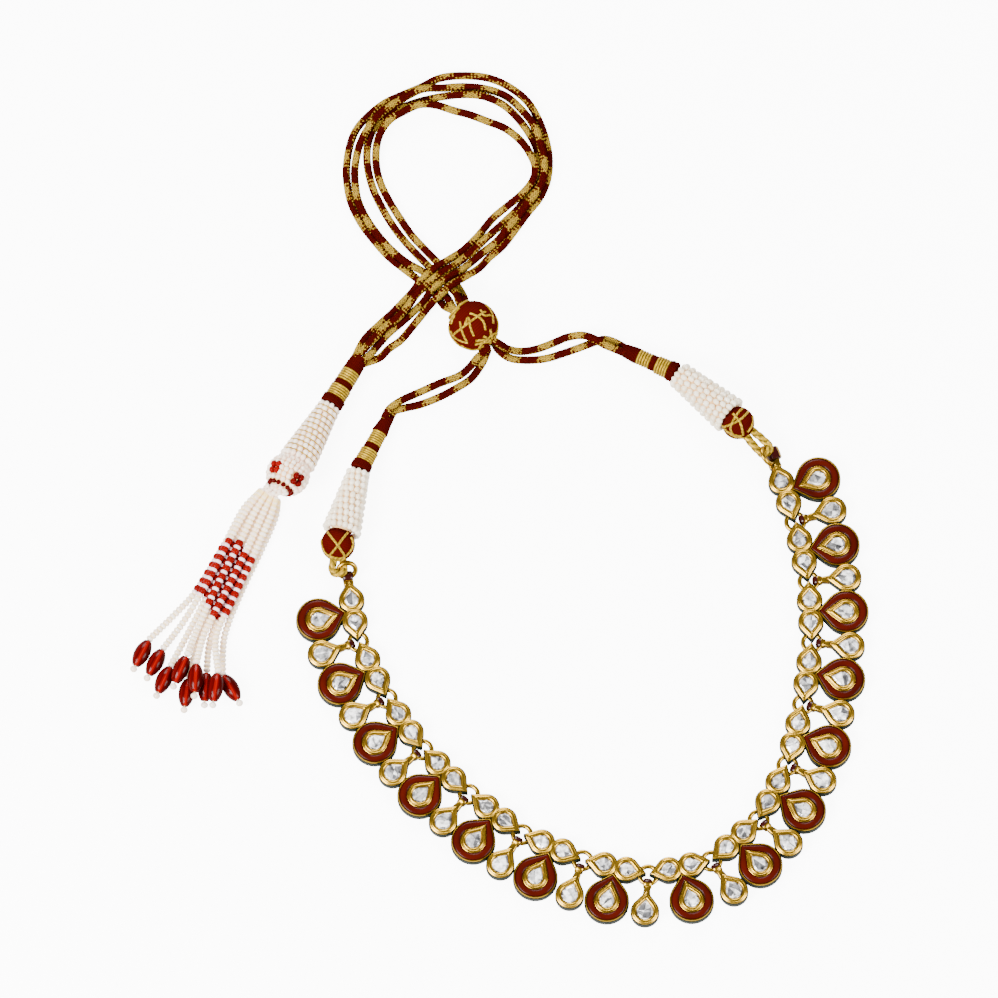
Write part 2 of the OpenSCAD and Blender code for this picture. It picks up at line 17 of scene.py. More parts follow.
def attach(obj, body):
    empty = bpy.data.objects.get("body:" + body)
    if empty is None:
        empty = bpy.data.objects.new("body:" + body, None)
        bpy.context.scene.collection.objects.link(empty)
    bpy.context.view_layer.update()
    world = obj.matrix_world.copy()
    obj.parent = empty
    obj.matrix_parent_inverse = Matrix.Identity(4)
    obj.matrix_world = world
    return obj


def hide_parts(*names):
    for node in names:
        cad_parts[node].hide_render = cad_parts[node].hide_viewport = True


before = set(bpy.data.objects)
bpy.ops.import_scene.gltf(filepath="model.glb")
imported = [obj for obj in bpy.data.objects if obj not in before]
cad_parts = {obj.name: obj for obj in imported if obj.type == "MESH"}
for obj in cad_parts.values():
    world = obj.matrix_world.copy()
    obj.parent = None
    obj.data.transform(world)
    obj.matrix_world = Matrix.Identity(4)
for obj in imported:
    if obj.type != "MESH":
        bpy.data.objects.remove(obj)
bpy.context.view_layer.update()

chance = random.Random(7)
MM = 0.001  # a millimetre in the scene's metres
SEAM = 0.0005  # points nearer than this many millimetres are one

def add_object(name, data):
    """Puts an object with this mesh, camera or lamp into the scene."""
    obj = bpy.data.objects.new(name, data)
    bpy.context.collection.objects.link(obj)
    return obj

print("solids:", len(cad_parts))

# %% [markdown]
# ## Camera
#
# The photograph looks down steeply, about 75 degrees above the table. A very long
# lens from far away keeps the near and far plates the same size, so one pixel is
# 0.26 mm everywhere.

# %% Camera
PIXEL = 0.26  # millimetres of the necklace in one pixel
SENSOR, FRAME_WIDTH, away = 36.0, 0.2595, 12.0
elevation = math.radians(74.5)
aim = Vector((-0.26, 31.8, 0.0)) * MM
camera_data = bpy.data.cameras.new("camera")
camera_data.sensor_width = SENSOR
camera_data.lens = SENSOR * away / FRAME_WIDTH
camera_data.clip_end = 40.0
camera = add_object("camera", camera_data)
camera.location = aim + away * Vector((0, -math.cos(elevation), math.sin(elevation)))
camera.rotation_euler = (math.pi / 2 - elevation, 0, 0)
bpy.context.scene.camera = camera
print("lens mm:", round(camera_data.lens, 1))

# %% [markdown]
# ## Shared finishes
#
# Threads, beads and metal all vary a little over their surface. One node group
# makes that unevenness: a slow change of shade and a fine grain that feeds the
# bump. Every material below places it with its own scale and strength.

# %% The unevenness group
def math_node(nodes, operation, second=0.5):
    """A Math node; its second input holds a number, unless something is linked there."""
    node = nodes.new("ShaderNodeMath")
    node.operation = operation
    node.inputs[1].default_value = second
    return node

def unevenness_group():
    group = bpy.data.node_groups.new("unevenness", "ShaderNodeTree")
    face = group.interface
    for name, value in (("Slow scale", 60.0), ("Fine scale", 900.0), ("Strength", 0.2)):
        face.new_socket(name, in_out="INPUT", socket_type="NodeSocketFloat").default_value = value
    face.new_socket("Shade", in_out="OUTPUT", socket_type="NodeSocketFloat")
    face.new_socket("Height", in_out="OUTPUT", socket_type="NodeSocketFloat")
    n, link = group.nodes, group.links.new
    gin, gout = n.new("NodeGroupInput"), n.new("NodeGroupOutput")
    where = n.new("ShaderNodeTexCoord")
    slow, fine = n.new("ShaderNodeTexNoise"), n.new("ShaderNodeTexNoise")
    slow.inputs["Detail"].default_value = 3
    fine.inputs["Detail"].default_value = 2
    for noise, scale in ((slow, "Slow scale"), (fine, "Fine scale")):
        link(where.outputs["Object"], noise.inputs["Vector"])
        link(gin.outputs[scale], noise.inputs["Scale"])
    centre, strength = math_node(n, "SUBTRACT", 0.5), math_node(n, "MULTIPLY")
    lift = math_node(n, "ADD", 1.0)
    link(slow.outputs["Fac"], centre.inputs[0])
    link(centre.outputs[0], strength.inputs[0])
    link(gin.outputs["Strength"], strength.inputs[1])
    link(strength.outputs[0], lift.inputs[0])
    link(lift.outputs[0], gout.inputs["Shade"])
    link(fine.outputs["Fac"], gout.inputs["Height"])
    return group

UNEVEN = unevenness_group()
print("group sockets:", len(UNEVEN.interface.items_tree))

# %% A helper that builds a material round it
FACTOR, COLOUR_A, COLOUR_B, MIXED = 0, 6, 7, 2  # sockets of a Mix node set to colour

def mix_node(nodes, blend, factor):
    node = nodes.new("ShaderNodeMix")
    node.data_type, node.blend_type = "RGBA", blend
    node.inputs[FACTOR].default_value = factor
    return node

def face_value(nodes, name):
    """The socket that gives the tone or the painted recess shade of each face."""
    node = nodes.new("ShaderNodeAttribute")
    node.attribute_name = name
    return node.outputs["Fac"]

def finish(name, colours, rough, metal=0.0, slow=60.0, fine=900.0, strength=0.4,
           relief=0.00002, recess_shades=False, **sockets):
    """colours: one colour, or two that the tone of each face mixes. slow and fine are the
    scales of the unevenness, strength how far it shades and relief how deep it goes, in
    metres. recess_shades paints shade into the gaps between turns of thread and between yarns."""
    mat = bpy.data.materials.new(name)
    mat.use_nodes = True
    n, link = mat.node_tree.nodes, mat.node_tree.links.new
    shader = n["Principled BSDF"]
    group = n.new("ShaderNodeGroup")
    group.node_tree = UNEVEN
    group.inputs["Slow scale"].default_value = slow
    group.inputs["Fine scale"].default_value = fine
    group.inputs["Strength"].default_value = strength
    mix = mix_node(n, "MIX", 0.0)
    mix.inputs[COLOUR_A].default_value = (*colours[0], 1)
    mix.inputs[COLOUR_B].default_value = (*colours[-1], 1)
    if len(colours) == 2:
        link(face_value(n, "tone"), mix.inputs[FACTOR])
    shade = mix_node(n, "MULTIPLY", 1.0)
    link(mix.outputs[MIXED], shade.inputs[COLOUR_A])
    link(group.outputs["Shade"], shade.inputs[COLOUR_B])
    if recess_shades:
        # Painted shade: each face's recess_shade darkens the colour in the gaps between threads and
        # yarns.
        darken = math_node(n, "MULTIPLY")
        link(group.outputs["Shade"], darken.inputs[0])
        link(face_value(n, "recess_shade"), darken.inputs[1])
        link(darken.outputs[0], shade.inputs[COLOUR_B])
    link(shade.outputs[MIXED], shader.inputs["Base Color"])
    bump = n.new("ShaderNodeBump")
    bump.inputs["Distance"].default_value = relief
    link(group.outputs["Height"], bump.inputs["Height"])
    link(bump.outputs["Normal"], shader.inputs["Normal"])
    shader.inputs["Roughness"].default_value = rough
    shader.inputs["Metallic"].default_value = metal
    for socket, value in sockets.items():
        shader.inputs[socket.replace("_", " ")].default_value = value
    return mat

# %% [markdown]
# ## The finishes themselves
#
# The plate is warm yellow gold, polished but not mirror flat. The enamel is a deep
# red-brown glass with a clear coat, and the side walls carry an almost black green.
# Stones differ facet by facet, so their mesh carries a tone for each facet, a painted
# reflection of the foil and the room. The thread is dull dark red, and the metal thread
# glints in a paler olive gold.

# %% Metal, enamel and stone
gold = finish("gold plate", [(0.41, 0.24, 0.02)], 0.3, metal=1.0, slow=90, fine=500,
              strength=0.6, relief=0.00003)
side_enamel = finish("dark side enamel", [(0.0035, 0.0085, 0.004)], 0.4, slow=150, fine=600,
                     strength=0.8, Specular_IOR_Level=0.04)
# The darker of the two colours is painted shade, where the band dips against the gold walls.
red_enamel = finish("red-brown enamel", [(0.020, 0.0012, 0.0006), (0.048, 0.0030, 0.0012)], 0.3,
                    slow=130, fine=400, strength=1.2, Coat_Weight=0.06, Coat_Roughness=0.2,
                    Specular_IOR_Level=0.03)
bail_enamel = finish("dark bail enamel", [(0.022, 0.0012, 0.0008)], 0.3, slow=200, fine=600,
                     strength=0.6, Coat_Weight=0.3, Coat_Roughness=0.2, Specular_IOR_Level=0.1)
# The stone's two tones and strong mottling are painted reflection of the foil and the room.
stone = finish("flat-cut stone", [(0.07, 0.07, 0.075), (0.95, 0.94, 0.93)], 0.12, metal=0.1,
               slow=850, fine=1500, strength=3.8, relief=0.00001, Coat_Weight=0.8,
               Coat_Roughness=0.04)

# %% Thread and cord
red_thread = finish("red thread", [(0.060, 0.0022, 0.0008)], 0.8, slow=120, fine=2500,
                    strength=0.6, relief=0.00006, recess_shades=True, Specular_IOR_Level=0.0)
gold_thread = finish("gold thread", [(0.42, 0.26, 0.012)], 0.42, metal=0.35, slow=1900, fine=2600,
                     strength=2.4, relief=0.00007, recess_shades=True, Specular_IOR_Level=0.1)
cord_thread = finish("braided cord", [(0.058, 0.0020, 0.0007), (0.43, 0.27, 0.03)], 0.6, slow=1700,
                     fine=3000, strength=1.6, relief=0.00006, recess_shades=True, Specular_IOR_Level=0.0)
# The core thread carries a painted glow: its emission stands for light shining through the beads
# round it.
core_thread = finish("yellow core thread", [(0.90, 0.68, 0.30)], 0.7, slow=150, fine=1800,
                     strength=0.3, relief=0.00004, Emission_Color=(0.9, 0.66, 0.32, 1),
                     Emission_Strength=0.5)
cuff_cloth = finish("cuff lining", [(0.86, 0.52, 0.22)], 0.8, slow=150, fine=1800, strength=0.5,
                    relief=0.00005)

# %% Beads: pale ones carry a painted glow, an emission that stands for the light passing through them
def pale_beads(name, colours, strength, glow, power):
    return finish(name, colours, 0.25, slow=200, strength=strength, relief=0.00001,
                  Coat_Weight=0.35, Coat_Roughness=0.12, Emission_Color=(*glow, 1),
                  Emission_Strength=power)

white_beads = pale_beads("cream seed beads", [(0.90, 0.76, 0.54), (0.98, 0.90, 0.74)], 0.15,
                         (1, 0.86, 0.68), 0.16)
pink_beads = pale_beads("pink seed beads", [(0.96, 0.74, 0.58), (1.0, 0.90, 0.78)], 0.12,
                        (1, 0.80, 0.66), 0.28)
lilac_beads = pale_beads("lilac seed beads", [(0.90, 0.58, 0.62), (1.0, 0.80, 0.82)], 0.12,
                         (1, 0.66, 0.74), 0.2)
red_beads = finish("red seed beads", [(0.045, 0.0006, 0.0004), (0.19, 0.0006, 0.0003)], 0.4,
                   slow=200, strength=0.3, relief=0.00001, Coat_Weight=0.05, Coat_Roughness=0.15,
                   Specular_IOR_Level=0.02)
# The bright red is painted light, a streak along each oval's middle as the camera sees it.
oval_glass = finish("red oval beads", [(0.040, 0.0006, 0.0004), (0.23, 0.0007, 0.0003)], 0.3,
                    slow=250, relief=0.00001, Coat_Weight=0.1, Coat_Roughness=0.12,
                    Specular_IOR_Level=0.02)
print("materials:", len(bpy.data.materials))

# %% [markdown]
# ## Helpers for every piece
#
# Each piece starts as a bmesh in millimetres, in the frame's own place. One helper
# turns it into an object: it makes the faces point outwards, scales it to metres,
# keeps the sharp edges, hangs it under the frame's root and hides the solids it stands for.

# %% From bmesh to piece
def to_mesh(bm, name):
    """Turns a bmesh into a mesh of that name, and frees it."""
    mesh = bpy.data.meshes.new(name)
    bm.to_mesh(mesh)
    bm.free()
    return mesh

def make_piece(bm, name, materials, nodes, sharp):
    """sharp is the angle, in degrees, from which an edge stays sharp."""
    bmesh.ops.recalc_face_normals(bm, faces=bm.faces)
    mesh = to_mesh(bm, name)
    mesh.transform(Matrix.Scale(MM, 4))
    for m in materials:
        mesh.materials.append(m)
    mesh.polygons.foreach_set("use_smooth", [True] * len(mesh.polygons))
    mesh.set_sharp_from_angle(angle=math.radians(sharp))
    piece = add_object(name, mesh)
    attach(piece, "root")
    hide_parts(*nodes)
    print(name, len(mesh.polygons), "faces")
    return piece

def new_bmesh():
    bm = bmesh.new()
    bm.faces.layers.float.new("tone")
    # recess_shade is painted shade for the gaps between threads; 1 means no shade.
    bm.faces.layers.float.new("recess_shade")
    return bm

def added(bm, before):
    """The faces that weren't there before, and their vertices."""
    faces = [f for f in bm.faces if f not in before]
    return faces, list({v for f in faces for v in f.verts})

def linked(verts):
    """The edges and the faces that touch these vertices."""
    return (list({e for v in verts for e in v.link_edges}),
            list({f for v in verts for f in v.link_faces}))

def layers(bm):
    return bm.faces.layers.float["tone"], bm.faces.layers.float["recess_shade"]

def paint(bm, faces, material=0, tone=0.0):
    """Gives faces a material, a tone from 0 to 1, and a painted recess shade of 1, which is no
    shade.
    """
    tones, recess_shades = layers(bm)
    for f in faces:
        f.material_index = material
        f[tones], f[recess_shades] = tone, 1.0

def mark(bm, faces, name, value):
    """Sets the tone or the painted recess shade of each face to value(face)."""
    layer = bm.faces.layers.float[name]
    for f in faces:
        f[layer] = value(f)

# %% Places
def at(x, y, z=0.0):
    return Matrix.Translation((x, y, z))

def rotated(degrees, axis="Z"):
    return Matrix.Rotation(math.radians(degrees), 4, axis)

def on_ring(place, reach, turn, height):
    """The point at that angle, in radians, of a ring round the Z axis of place."""
    return place @ Vector((reach * math.cos(turn), reach * math.sin(turn), height))

def turned(axis_from, axis_to):
    """Matrix that puts the Z axis on the line between two points."""
    a, b = Vector(axis_from), Vector(axis_to)
    return Matrix.Translation(a) @ (b - a).to_track_quat("Z", "Y").to_matrix().to_4x4()

# %% Round forms: beads, rings and turned profiles
def bead(bm, centre, along, width, length, material=0, tone=0.0, around=10, down=6):
    """A sphere stretched or squashed along its hole."""
    place = turned(centre, Vector(centre) + Vector(along)) @ Matrix.Diagonal(
        (width / 2, width / 2, length / 2, 1))
    got = bmesh.ops.create_uvsphere(bm, u_segments=around, v_segments=down, radius=1, matrix=place)
    paint(bm, linked(got["verts"])[1], material, tone)

def ring_bead(bm, place, reach, turn, height, width, length, material=0, tone=0.0):
    """A bead that lies along a ring of that reach, at an angle turn round it."""
    spot = on_ring(place, reach, turn, height)
    along = place.to_3x3() @ Vector((-math.sin(turn), math.cos(turn), 0))
    bead(bm, spot, along, width, length, material, tone)

def spin_round(bm, verts, edges, steps):
    bmesh.ops.spin(bm, geom=verts + edges, cent=(0, 0, 0), axis=(0, 0, 1),
                   angle=2 * math.pi, steps=steps, use_merge=True)

def wire_ring(bm, place, radius, wire, material=0, around=48, sides=12):
    """A circle of wire spun round the Z axis."""
    before = set(bm.faces)
    got = bmesh.ops.create_circle(bm, segments=sides, radius=wire / 2,
                                  matrix=at(radius, 0) @ rotated(90, "X"))
    spin_round(bm, got["verts"], linked(got["verts"])[0], around)
    faces, verts = added(bm, before)
    bmesh.ops.transform(bm, matrix=place, verts=verts)
    paint(bm, faces, material)

def turn_profile(bm, place, profile, material=0, around=40, recess_shade=None):
    """Spins a line of (radius, height) points round the Z axis. recess_shade(height) may paint
    shade into it.
    """
    before = set(bm.faces)
    verts = [bm.verts.new((r, 0, z)) for r, z in profile]
    spin_round(bm, verts, [bm.edges.new(pair) for pair in zip(verts, verts[1:])], around)
    bmesh.ops.remove_doubles(bm, verts=added(bm, before)[1], dist=SEAM)
    faces, verts = added(bm, before)
    paint(bm, faces, material)
    if recess_shade:
        mark(bm, faces, "recess_shade", lambda f: recess_shade(f.calc_center_median().z))
    bmesh.ops.transform(bm, matrix=place, verts=verts)
    return faces

# %% Long forms: a strip rolled into a tube along a path
def distances(points):
    """How far along the line through the points each of them lies."""
    along = [0.0]
    for a, b in zip(points, points[1:]):
        along.append(along[-1] + (b - a).length)
    return along

def direction(path, i):
    """Which way the path runs at its point i."""
    return (path[min(i + 1, len(path) - 1)] - path[max(i - 1, 0)]).normalized()

def smooth_path(points, step):
    """Points one step apart on a smooth curve through the given ones."""
    p = [Vector(q) for q in points]
    fine = []
    for i in range(len(p) - 1):
        a, b, c, d = p[max(i - 1, 0)], p[i], p[i + 1], p[min(i + 2, len(p) - 1)]
        for k in range(12):
            t = k / 12
            fine.append(b + (c - a) * t / 2 + (2 * a - 5 * b + 4 * c - d) * t * t / 2
                        + (3 * b - a - 3 * c + d) * t ** 3 / 2)
    fine.append(p[-1])
    lengths = distances(fine)
    count = max(2, round(lengths[-1] / step))
    even, j = [], 0
    for k in range(count + 1):
        s = lengths[-1] * k / count
        while j < len(fine) - 2 and lengths[j + 1] < s:
            j += 1
        t = (s - lengths[j]) / max(1e-9, lengths[j + 1] - lengths[j])
        even.append(fine[j].lerp(fine[j + 1], min(max(t, 0), 1)))
    return even

def frames_along(path):
    """At each point: the point, and two directions across the path that don't twist."""
    side = None
    out = []
    for i, p in enumerate(path):
        t = direction(path, i)
        if side is None:
            side = t.cross(Vector((0, 0, 1)))
            side = side if side.length > 0.1 else t.cross(Vector((1, 0, 0)))
        side = (side - t * side.dot(t)).normalized()
        out.append((p, side, t.cross(side)))
    return out

def rolled_tube(bm, path, radius, sides=12, material=0, marks=None, twist=0.0):
    """radius may be a number or a function of (turn, length), and marks is a function that
    gives (tone, painted recess shade) there. The strip winds round by twist turns per millimetre."""
    rows = frames_along(path)
    reach = distances(path)
    got = bmesh.ops.create_grid(bm, x_segments=sides, y_segments=len(path) - 1, size=1)
    verts = got["verts"]
    faces = linked(verts)[1]
    spots = {v: ((v.co.x + 1) / 2, round((v.co.y + 1) / 2 * (len(path) - 1))) for v in verts}
    for v, (turn, j) in spots.items():
        p, u, w = rows[j]
        turn += twist * reach[j]
        r = radius(turn % 1.0, reach[j]) if callable(radius) else radius
        v.co = p + r * (math.cos(turn * 2 * math.pi) * u + math.sin(turn * 2 * math.pi) * w)
    paint(bm, faces, material)
    if marks:
        tones, recess_shades = layers(bm)
        for f in faces:
            corners = [spots[v] for v in f.verts]
            s = sum(reach[j] for t, j in corners) / 4
            f[tones], f[recess_shades] = marks(sum(t for t, j in corners) / 4 + twist * s, s)
    seam = [v for v, (turn, j) in spots.items() if turn < 0.001 or turn > 0.999]
    bmesh.ops.remove_doubles(bm, verts=seam, dist=SEAM)
    rims = {e for v in verts if v.is_valid for e in v.link_edges if e.is_boundary}
    bmesh.ops.holes_fill(bm, edges=list(rims), sides=0)
    return reach[-1]

# %% [markdown]
# ## The four cord strands
# The cord is a fine round braid of gold and dark red yarns, half of each going either
# way round. Where gold crosses gold a gold patch shows, where red crosses red a red one,
# and between them the two are speckled. A strip is rolled into a tube along the route,
# lifted in each small diamond, and each face is told the colour of the yarn on top and
# a painted shade that darkens the border of each diamond. The routes are those of the
# construction model, in millimetres.

# %% Routes
routes = {"cord_left_a": [
  [-29, 52, 1.4], [-27.6, 55, 1.2], [-25, 56, 1], [-20.8, 57, 1], [-15.8, 59, 1],
  [-11.4, 61.4, 1], [-7.6, 64, 1], [-5, 67.4, 1.5], [-3.6, 70, 3.2], [-3.6, 71.4, 5.3],
  [-7.8, 76.2, 5.3], [-11.8, 80.8, 5.3], [-14.6, 83.2, 2.9], [-16.4, 86.4, 1], [-19, 88.4, 1],
  [-21.6, 91, 1], [-25.4, 94, 1], [-29.2, 97.2, 1], [-32.8, 101.4, 1], [-36, 105.8, 1],
  [-38.4, 110.6, 1], [-39.6, 115.2, 1], [-40, 120.6, 1], [-39.2, 126.6, 1], [-37.4, 131.4, 1],
  [-34, 135.4, 1], [-30, 138.6, 1], [-25.4, 140.8, 1], [-20.8, 142.8, 1], [-15.4, 145.4, 1],
  [-9.2, 146, 1], [-3.2, 145.4, 1], [2, 143.2, 1], [6.8, 139.4, 1], [9.8, 134.6, 1],
  [11.8, 129.2, 1], [12.8, 123.6, 1], [12.4, 118, 1], [10.4, 113, 1], [7.2, 108.8, 1],
  [4.2, 104.6, 1], [0.8, 100, 1], [-2.8, 96.6, 1.5], [-5.4, 93.4, 2.8], [-8.8, 90.8, 4.3],
  [-12.6, 88, 5.9], [-15.8, 85.2, 5.9], [-18.4, 82.8, 4.2], [-20.4, 80.8, 2.2], [-23, 77.8, 1],
  [-25.8, 74.4, 1], [-29, 72, 1], [-31.4, 69.6, 1], [-36, 67.8, 1.4]
], "cord_left_b": [
  [-30.2, 52.6, 2.9], [-28.6, 55.4, 3.1], [-25.4, 57.8, 2.6], [-20.8, 60.4, 1], [-15.6, 62.8, 1],
  [-10.6, 64.8, 1], [-7.8, 67, 1.9], [-6, 68.8, 3.8], [-4.2, 69.8, 6.8], [-3.6, 71.4, 7.7],
  [-7.8, 76.2, 7.7], [-11.8, 80.8, 7.7], [-13.2, 84, 5.2], [-15.2, 87.4, 2.8],
  [-17.6, 90.4, 1.2], [-20, 92.8, 1.3], [-24.2, 95, 2.2], [-28.4, 98.6, 2.2], [-32, 102.8, 2.3],
  [-34.8, 107, 2.3], [-36.8, 111.4, 2.1], [-37.6, 115.4, 2], [-37.8, 120.6, 1.8],
  [-36.8, 126.2, 1.9], [-34.8, 130.6, 2.6], [-32.2, 134.2, 2.9], [-28.8, 137, 3],
  [-25, 139.4, 3.1], [-20.2, 141.8, 3.1], [-15, 142.6, 1.2], [-9.4, 143, 1], [-3.6, 142.4, 1],
  [1.6, 140.4, 1.1], [5.8, 136.4, 1.7], [8.8, 132, 2.6], [10.6, 127, 3], [11.4, 122.2, 3],
  [11.2, 117.4, 3], [8.8, 113, 3], [6.2, 109.6, 2.9], [3, 105.8, 2.3], [-0.6, 101.2, 1.7],
  [-4.4, 98, 1.6], [-7.2, 95.4, 2], [-10.2, 92.6, 3.3], [-14, 90, 4.6], [-17.4, 87.4, 4.6],
  [-19.8, 84.6, 2.2], [-22.2, 82.4, 1], [-25.4, 79.4, 1], [-29, 76.2, 1], [-32, 72.6, 1.4],
  [-33.6, 70.2, 2.7], [-36, 67.8, 3.6]
], "cord_right_a": [
  [32.4, 70.4, 2.8], [30, 71.4, 3], [27.2, 72.6, 3.1], [24.4, 74.2, 3.3], [21.4, 75.4, 2.2],
  [17.6, 75.2, 1], [13.8, 73.6, 1], [9.6, 72, 1], [5.4, 71.2, 1.6], [2.2, 71.2, 3.8],
  [-0.2, 71.8, 6.9], [-2, 73, 7.7], [-6, 77.6, 7.7], [-10.2, 82.2, 7.7], [-11.4, 85.8, 5.2],
  [-13.6, 88.8, 2.8], [-16, 91.8, 1.2], [-18.4, 94.2, 1], [-21.8, 97.8, 1], [-25, 101.4, 1],
  [-27.8, 105.2, 1], [-30.6, 110, 1], [-33, 115.2, 1], [-34.4, 120.8, 1], [-34.6, 126, 1],
  [-33.4, 130.6, 1], [-31.2, 134, 1], [-27.8, 136.4, 1], [-24, 138, 1], [-19.6, 139.4, 1],
  [-14, 140.4, 1.4], [-8.8, 140.6, 2.2], [-4, 140, 2.3], [0.8, 137.8, 2.2], [4.6, 134.4, 1.5],
  [7.8, 130, 1], [9.8, 125.4, 1], [10.2, 120.6, 1], [9.4, 116.6, 1], [7, 112.8, 1],
  [4.2, 109.4, 1], [0.8, 106, 1.2], [-3.2, 102, 2.2], [-6.4, 98.8, 2.4], [-8.8, 96.8, 2],
  [-11.8, 94.2, 2.7], [-15.4, 91.6, 4], [-18.8, 88.8, 4], [-21.8, 86, 3.4], [-23.8, 83.2, 2.8],
  [-26.6, 80, 3], [-30.2, 77, 3], [-33.6, 73.4, 3.1], [-35.4, 71.2, 3.4], [-37.8, 69, 3.6]
], "cord_right_b": [
  [33, 72, 1.4], [29.6, 74, 1], [27, 74.6, 1], [24.4, 73.8, 1], [20.8, 72.4, 1], [16.4, 70.8, 1],
  [11.8, 69.4, 1], [6.8, 69, 1], [2.4, 69.6, 1.1], [-0.4, 71.2, 2.9], [-2, 73, 5.3],
  [-6, 77.6, 5.3], [-10.2, 82.2, 5.3], [-9.2, 85, 3], [-11.4, 89.6, 1], [-13.8, 93, 1],
  [-16.4, 95.6, 1], [-19.8, 99.2, 1], [-23, 102.8, 1], [-25.8, 107, 1], [-28.6, 111.6, 1],
  [-31, 116.6, 1], [-32.2, 121.4, 1], [-32.2, 126.4, 1.6], [-31, 130.4, 2.6],
  [-28.6, 133.6, 2.9], [-25.4, 135.6, 3], [-21, 137.6, 3.1], [-16.6, 137.8, 1.8],
  [-12.2, 136.6, 1], [-7.8, 135.4, 1], [-3.2, 133.6, 1], [1.2, 131.8, 1], [5, 128.6, 1.7],
  [7.6, 124.8, 2.7], [9.2, 120.6, 3], [8.4, 116.8, 3], [5.4, 113.2, 2.6], [1.6, 110.2, 1.8],
  [-2, 107.2, 1.1], [-5.2, 103.2, 1], [-8, 100.2, 1], [-10.2, 98.2, 1], [-13.2, 96, 2],
  [-17, 93.2, 3.3], [-19.8, 90.6, 3.3], [-21.4, 89, 2.9], [-22.6, 87.6, 1.3], [-25, 85, 1],
  [-28, 81.8, 1], [-31.4, 78.6, 1], [-34.8, 75.2, 1], [-36.8, 71.8, 1.1], [-37.8, 69, 1.4]
]}

# %% Braid
YARNS, DIAMOND_LENGTH, CORD_WIDTH = 10, 0.9, 2.1
YARN_SINK, YARN_RISE = 0.16, 0.2  # how far the braid dips and swells, in millimetres

def diamond(turn, s):
    """Which yarn of each of the two directions passes here, as two running numbers."""
    return YARNS * turn + s / DIAMOND_LENGTH, YARNS * turn - s / DIAMOND_LENGTH

def dome(turn, s):
    """Height within one crossing: 0 on its border, 1 in its middle."""
    a, b = diamond(turn, s)
    return abs(math.sin(math.pi * a) * math.sin(math.pi * b)) ** 0.6

def braid_radius(turn, s):
    return CORD_WIDTH / 2 - YARN_SINK + YARN_RISE * dome(turn, s)

def braid_marks(turn, s):
    """Gold where gold yarns cross, red where red ones do; between them the upper yarn decides. Also
    a painted shade, darkest on each crossing's border.
    """
    a, b = (math.floor(c) for c in diamond(turn, s))
    wave_a, wave_b = (math.sin(2 * math.pi * (c + 0.5) / YARNS) for c in (a, b))
    high, top = dome(turn, s), wave_a if (a + b) % 2 else wave_b
    both = wave_a + wave_b
    shown = high > 0.38 and both > 1.05 or high > 0.58 and both > -0.1 and top > 0
    # The second value is painted shade, darkest on the border between crossings.
    return (1.0 if shown else 0.0), 0.12 + 0.95 * high

# %% Strands
BRAID_STEP, BRAID_SIDES = 0.19, 30
for name, route in routes.items():
    bm = new_bmesh()
    length = rolled_tube(bm, smooth_path(route, BRAID_STEP), braid_radius, BRAID_SIDES, 0,
                         braid_marks, 1 / (YARNS * DIAMOND_LENGTH))
    cord = make_piece(bm, name.replace("cord", "braid"), [cord_thread], [name], 80)
    [tuple(p * MM) for p in smooth_path(route, 3.0)]
    print(name, "length mm", round(length, 1))

# %% [markdown]
# ## The chain's layout
#
# Fifteen units follow one another; each has its own direction, play at its joints
# and lean of its large plate. The same short table places the solids, so every
# dressed unit lands on its solid.

# %% Where the units lie
unit_len, chain_start = 15.7, Vector((-39.4, 9.1, 0))
SETTING_POINT, PLATE_OUT, DROP_OUT, RING_Z = 4.95, 9.4, 10.1, 1.4
units = [
  [-81, 0.7, 6], [-64, 1.3, -1], [-56, 0.9, 0], [-45, 1.3, -1], [-38, 1.8, 0],
  [-24, 1.5, -4], [-13, 1.8, -1], [13, 1.1, 6], [42, 0.8, 2], [63, 0.8, -5],
  [76, 1.2, -7], [82, 1.1, -3], [93, 0.8, -4], [102, 0.7, -2], [109, 0.7, 4]
]
drop_lean = [3, -1, 0, 0, -3, -1, -5, 8, -2, -5, -5, -4, -3, 1]

def heading(degrees):
    return Vector((math.cos(math.radians(degrees)), math.sin(math.radians(degrees)), 0))

joints = [chain_start]
for turn, play, _ in units:
    joints.append(joints[-1] + (unit_len + play) * heading(turn))

def unit_place(i):
    return at(*(joints[i] + joints[i + 1]) / 2) @ rotated(units[i][0])

def setting_place(i, side):
    return unit_place(i) @ at(side * (unit_len / 2 - SETTING_POINT), 0) @ rotated(-90 * side)

def plate_place(i):
    return unit_place(i) @ rotated(units[i][2]) @ at(0, -PLATE_OUT)

def drop_place(i):
    turn = (units[i - 1][0] + units[i][0]) / 2 + drop_lean[i - 1]
    return at(*joints[i]) @ rotated(turn)
print("chain ends at", [round(c, 1) for c in joints[-1]])

# %% [markdown]
# ## Settings
#
# A setting is a pointed cup: a wall, and on it a broad lip of soft gold pushed over
# the stone's edge. The outline is a circle with a point. The cup is a stack of such
# outlines, each a little further in, joined pair by pair with the bridge operator.
# One cup is made of each size and copied to its places, slightly uneven as handwork is.

# %% Outlines
def pointed_outline(r, h, inset=0.0, arc=24, flank=4):
    """A circle of radius r with a point at height h, moved inwards by inset."""
    half = math.asin(r / h) - math.radians(2)
    tip, r = Vector((0, h - inset / math.sin(half))), r - inset
    foot = r * Vector((math.cos(half), math.sin(half)))
    sweep = math.pi + 2 * half
    points = [tip.lerp(foot, 0.03 + 0.97 * k / flank) for k in range(flank)]
    points += [r * Vector((math.cos(half - sweep * k / arc), math.sin(half - sweep * k / arc)))
               for k in range(arc + 1)]
    return points + [Vector((-p.x, p.y)) for p in reversed(points[:flank])]

def between(outer, inner, t):
    return [a.lerp(b, t) for a, b in zip(outer, inner)]

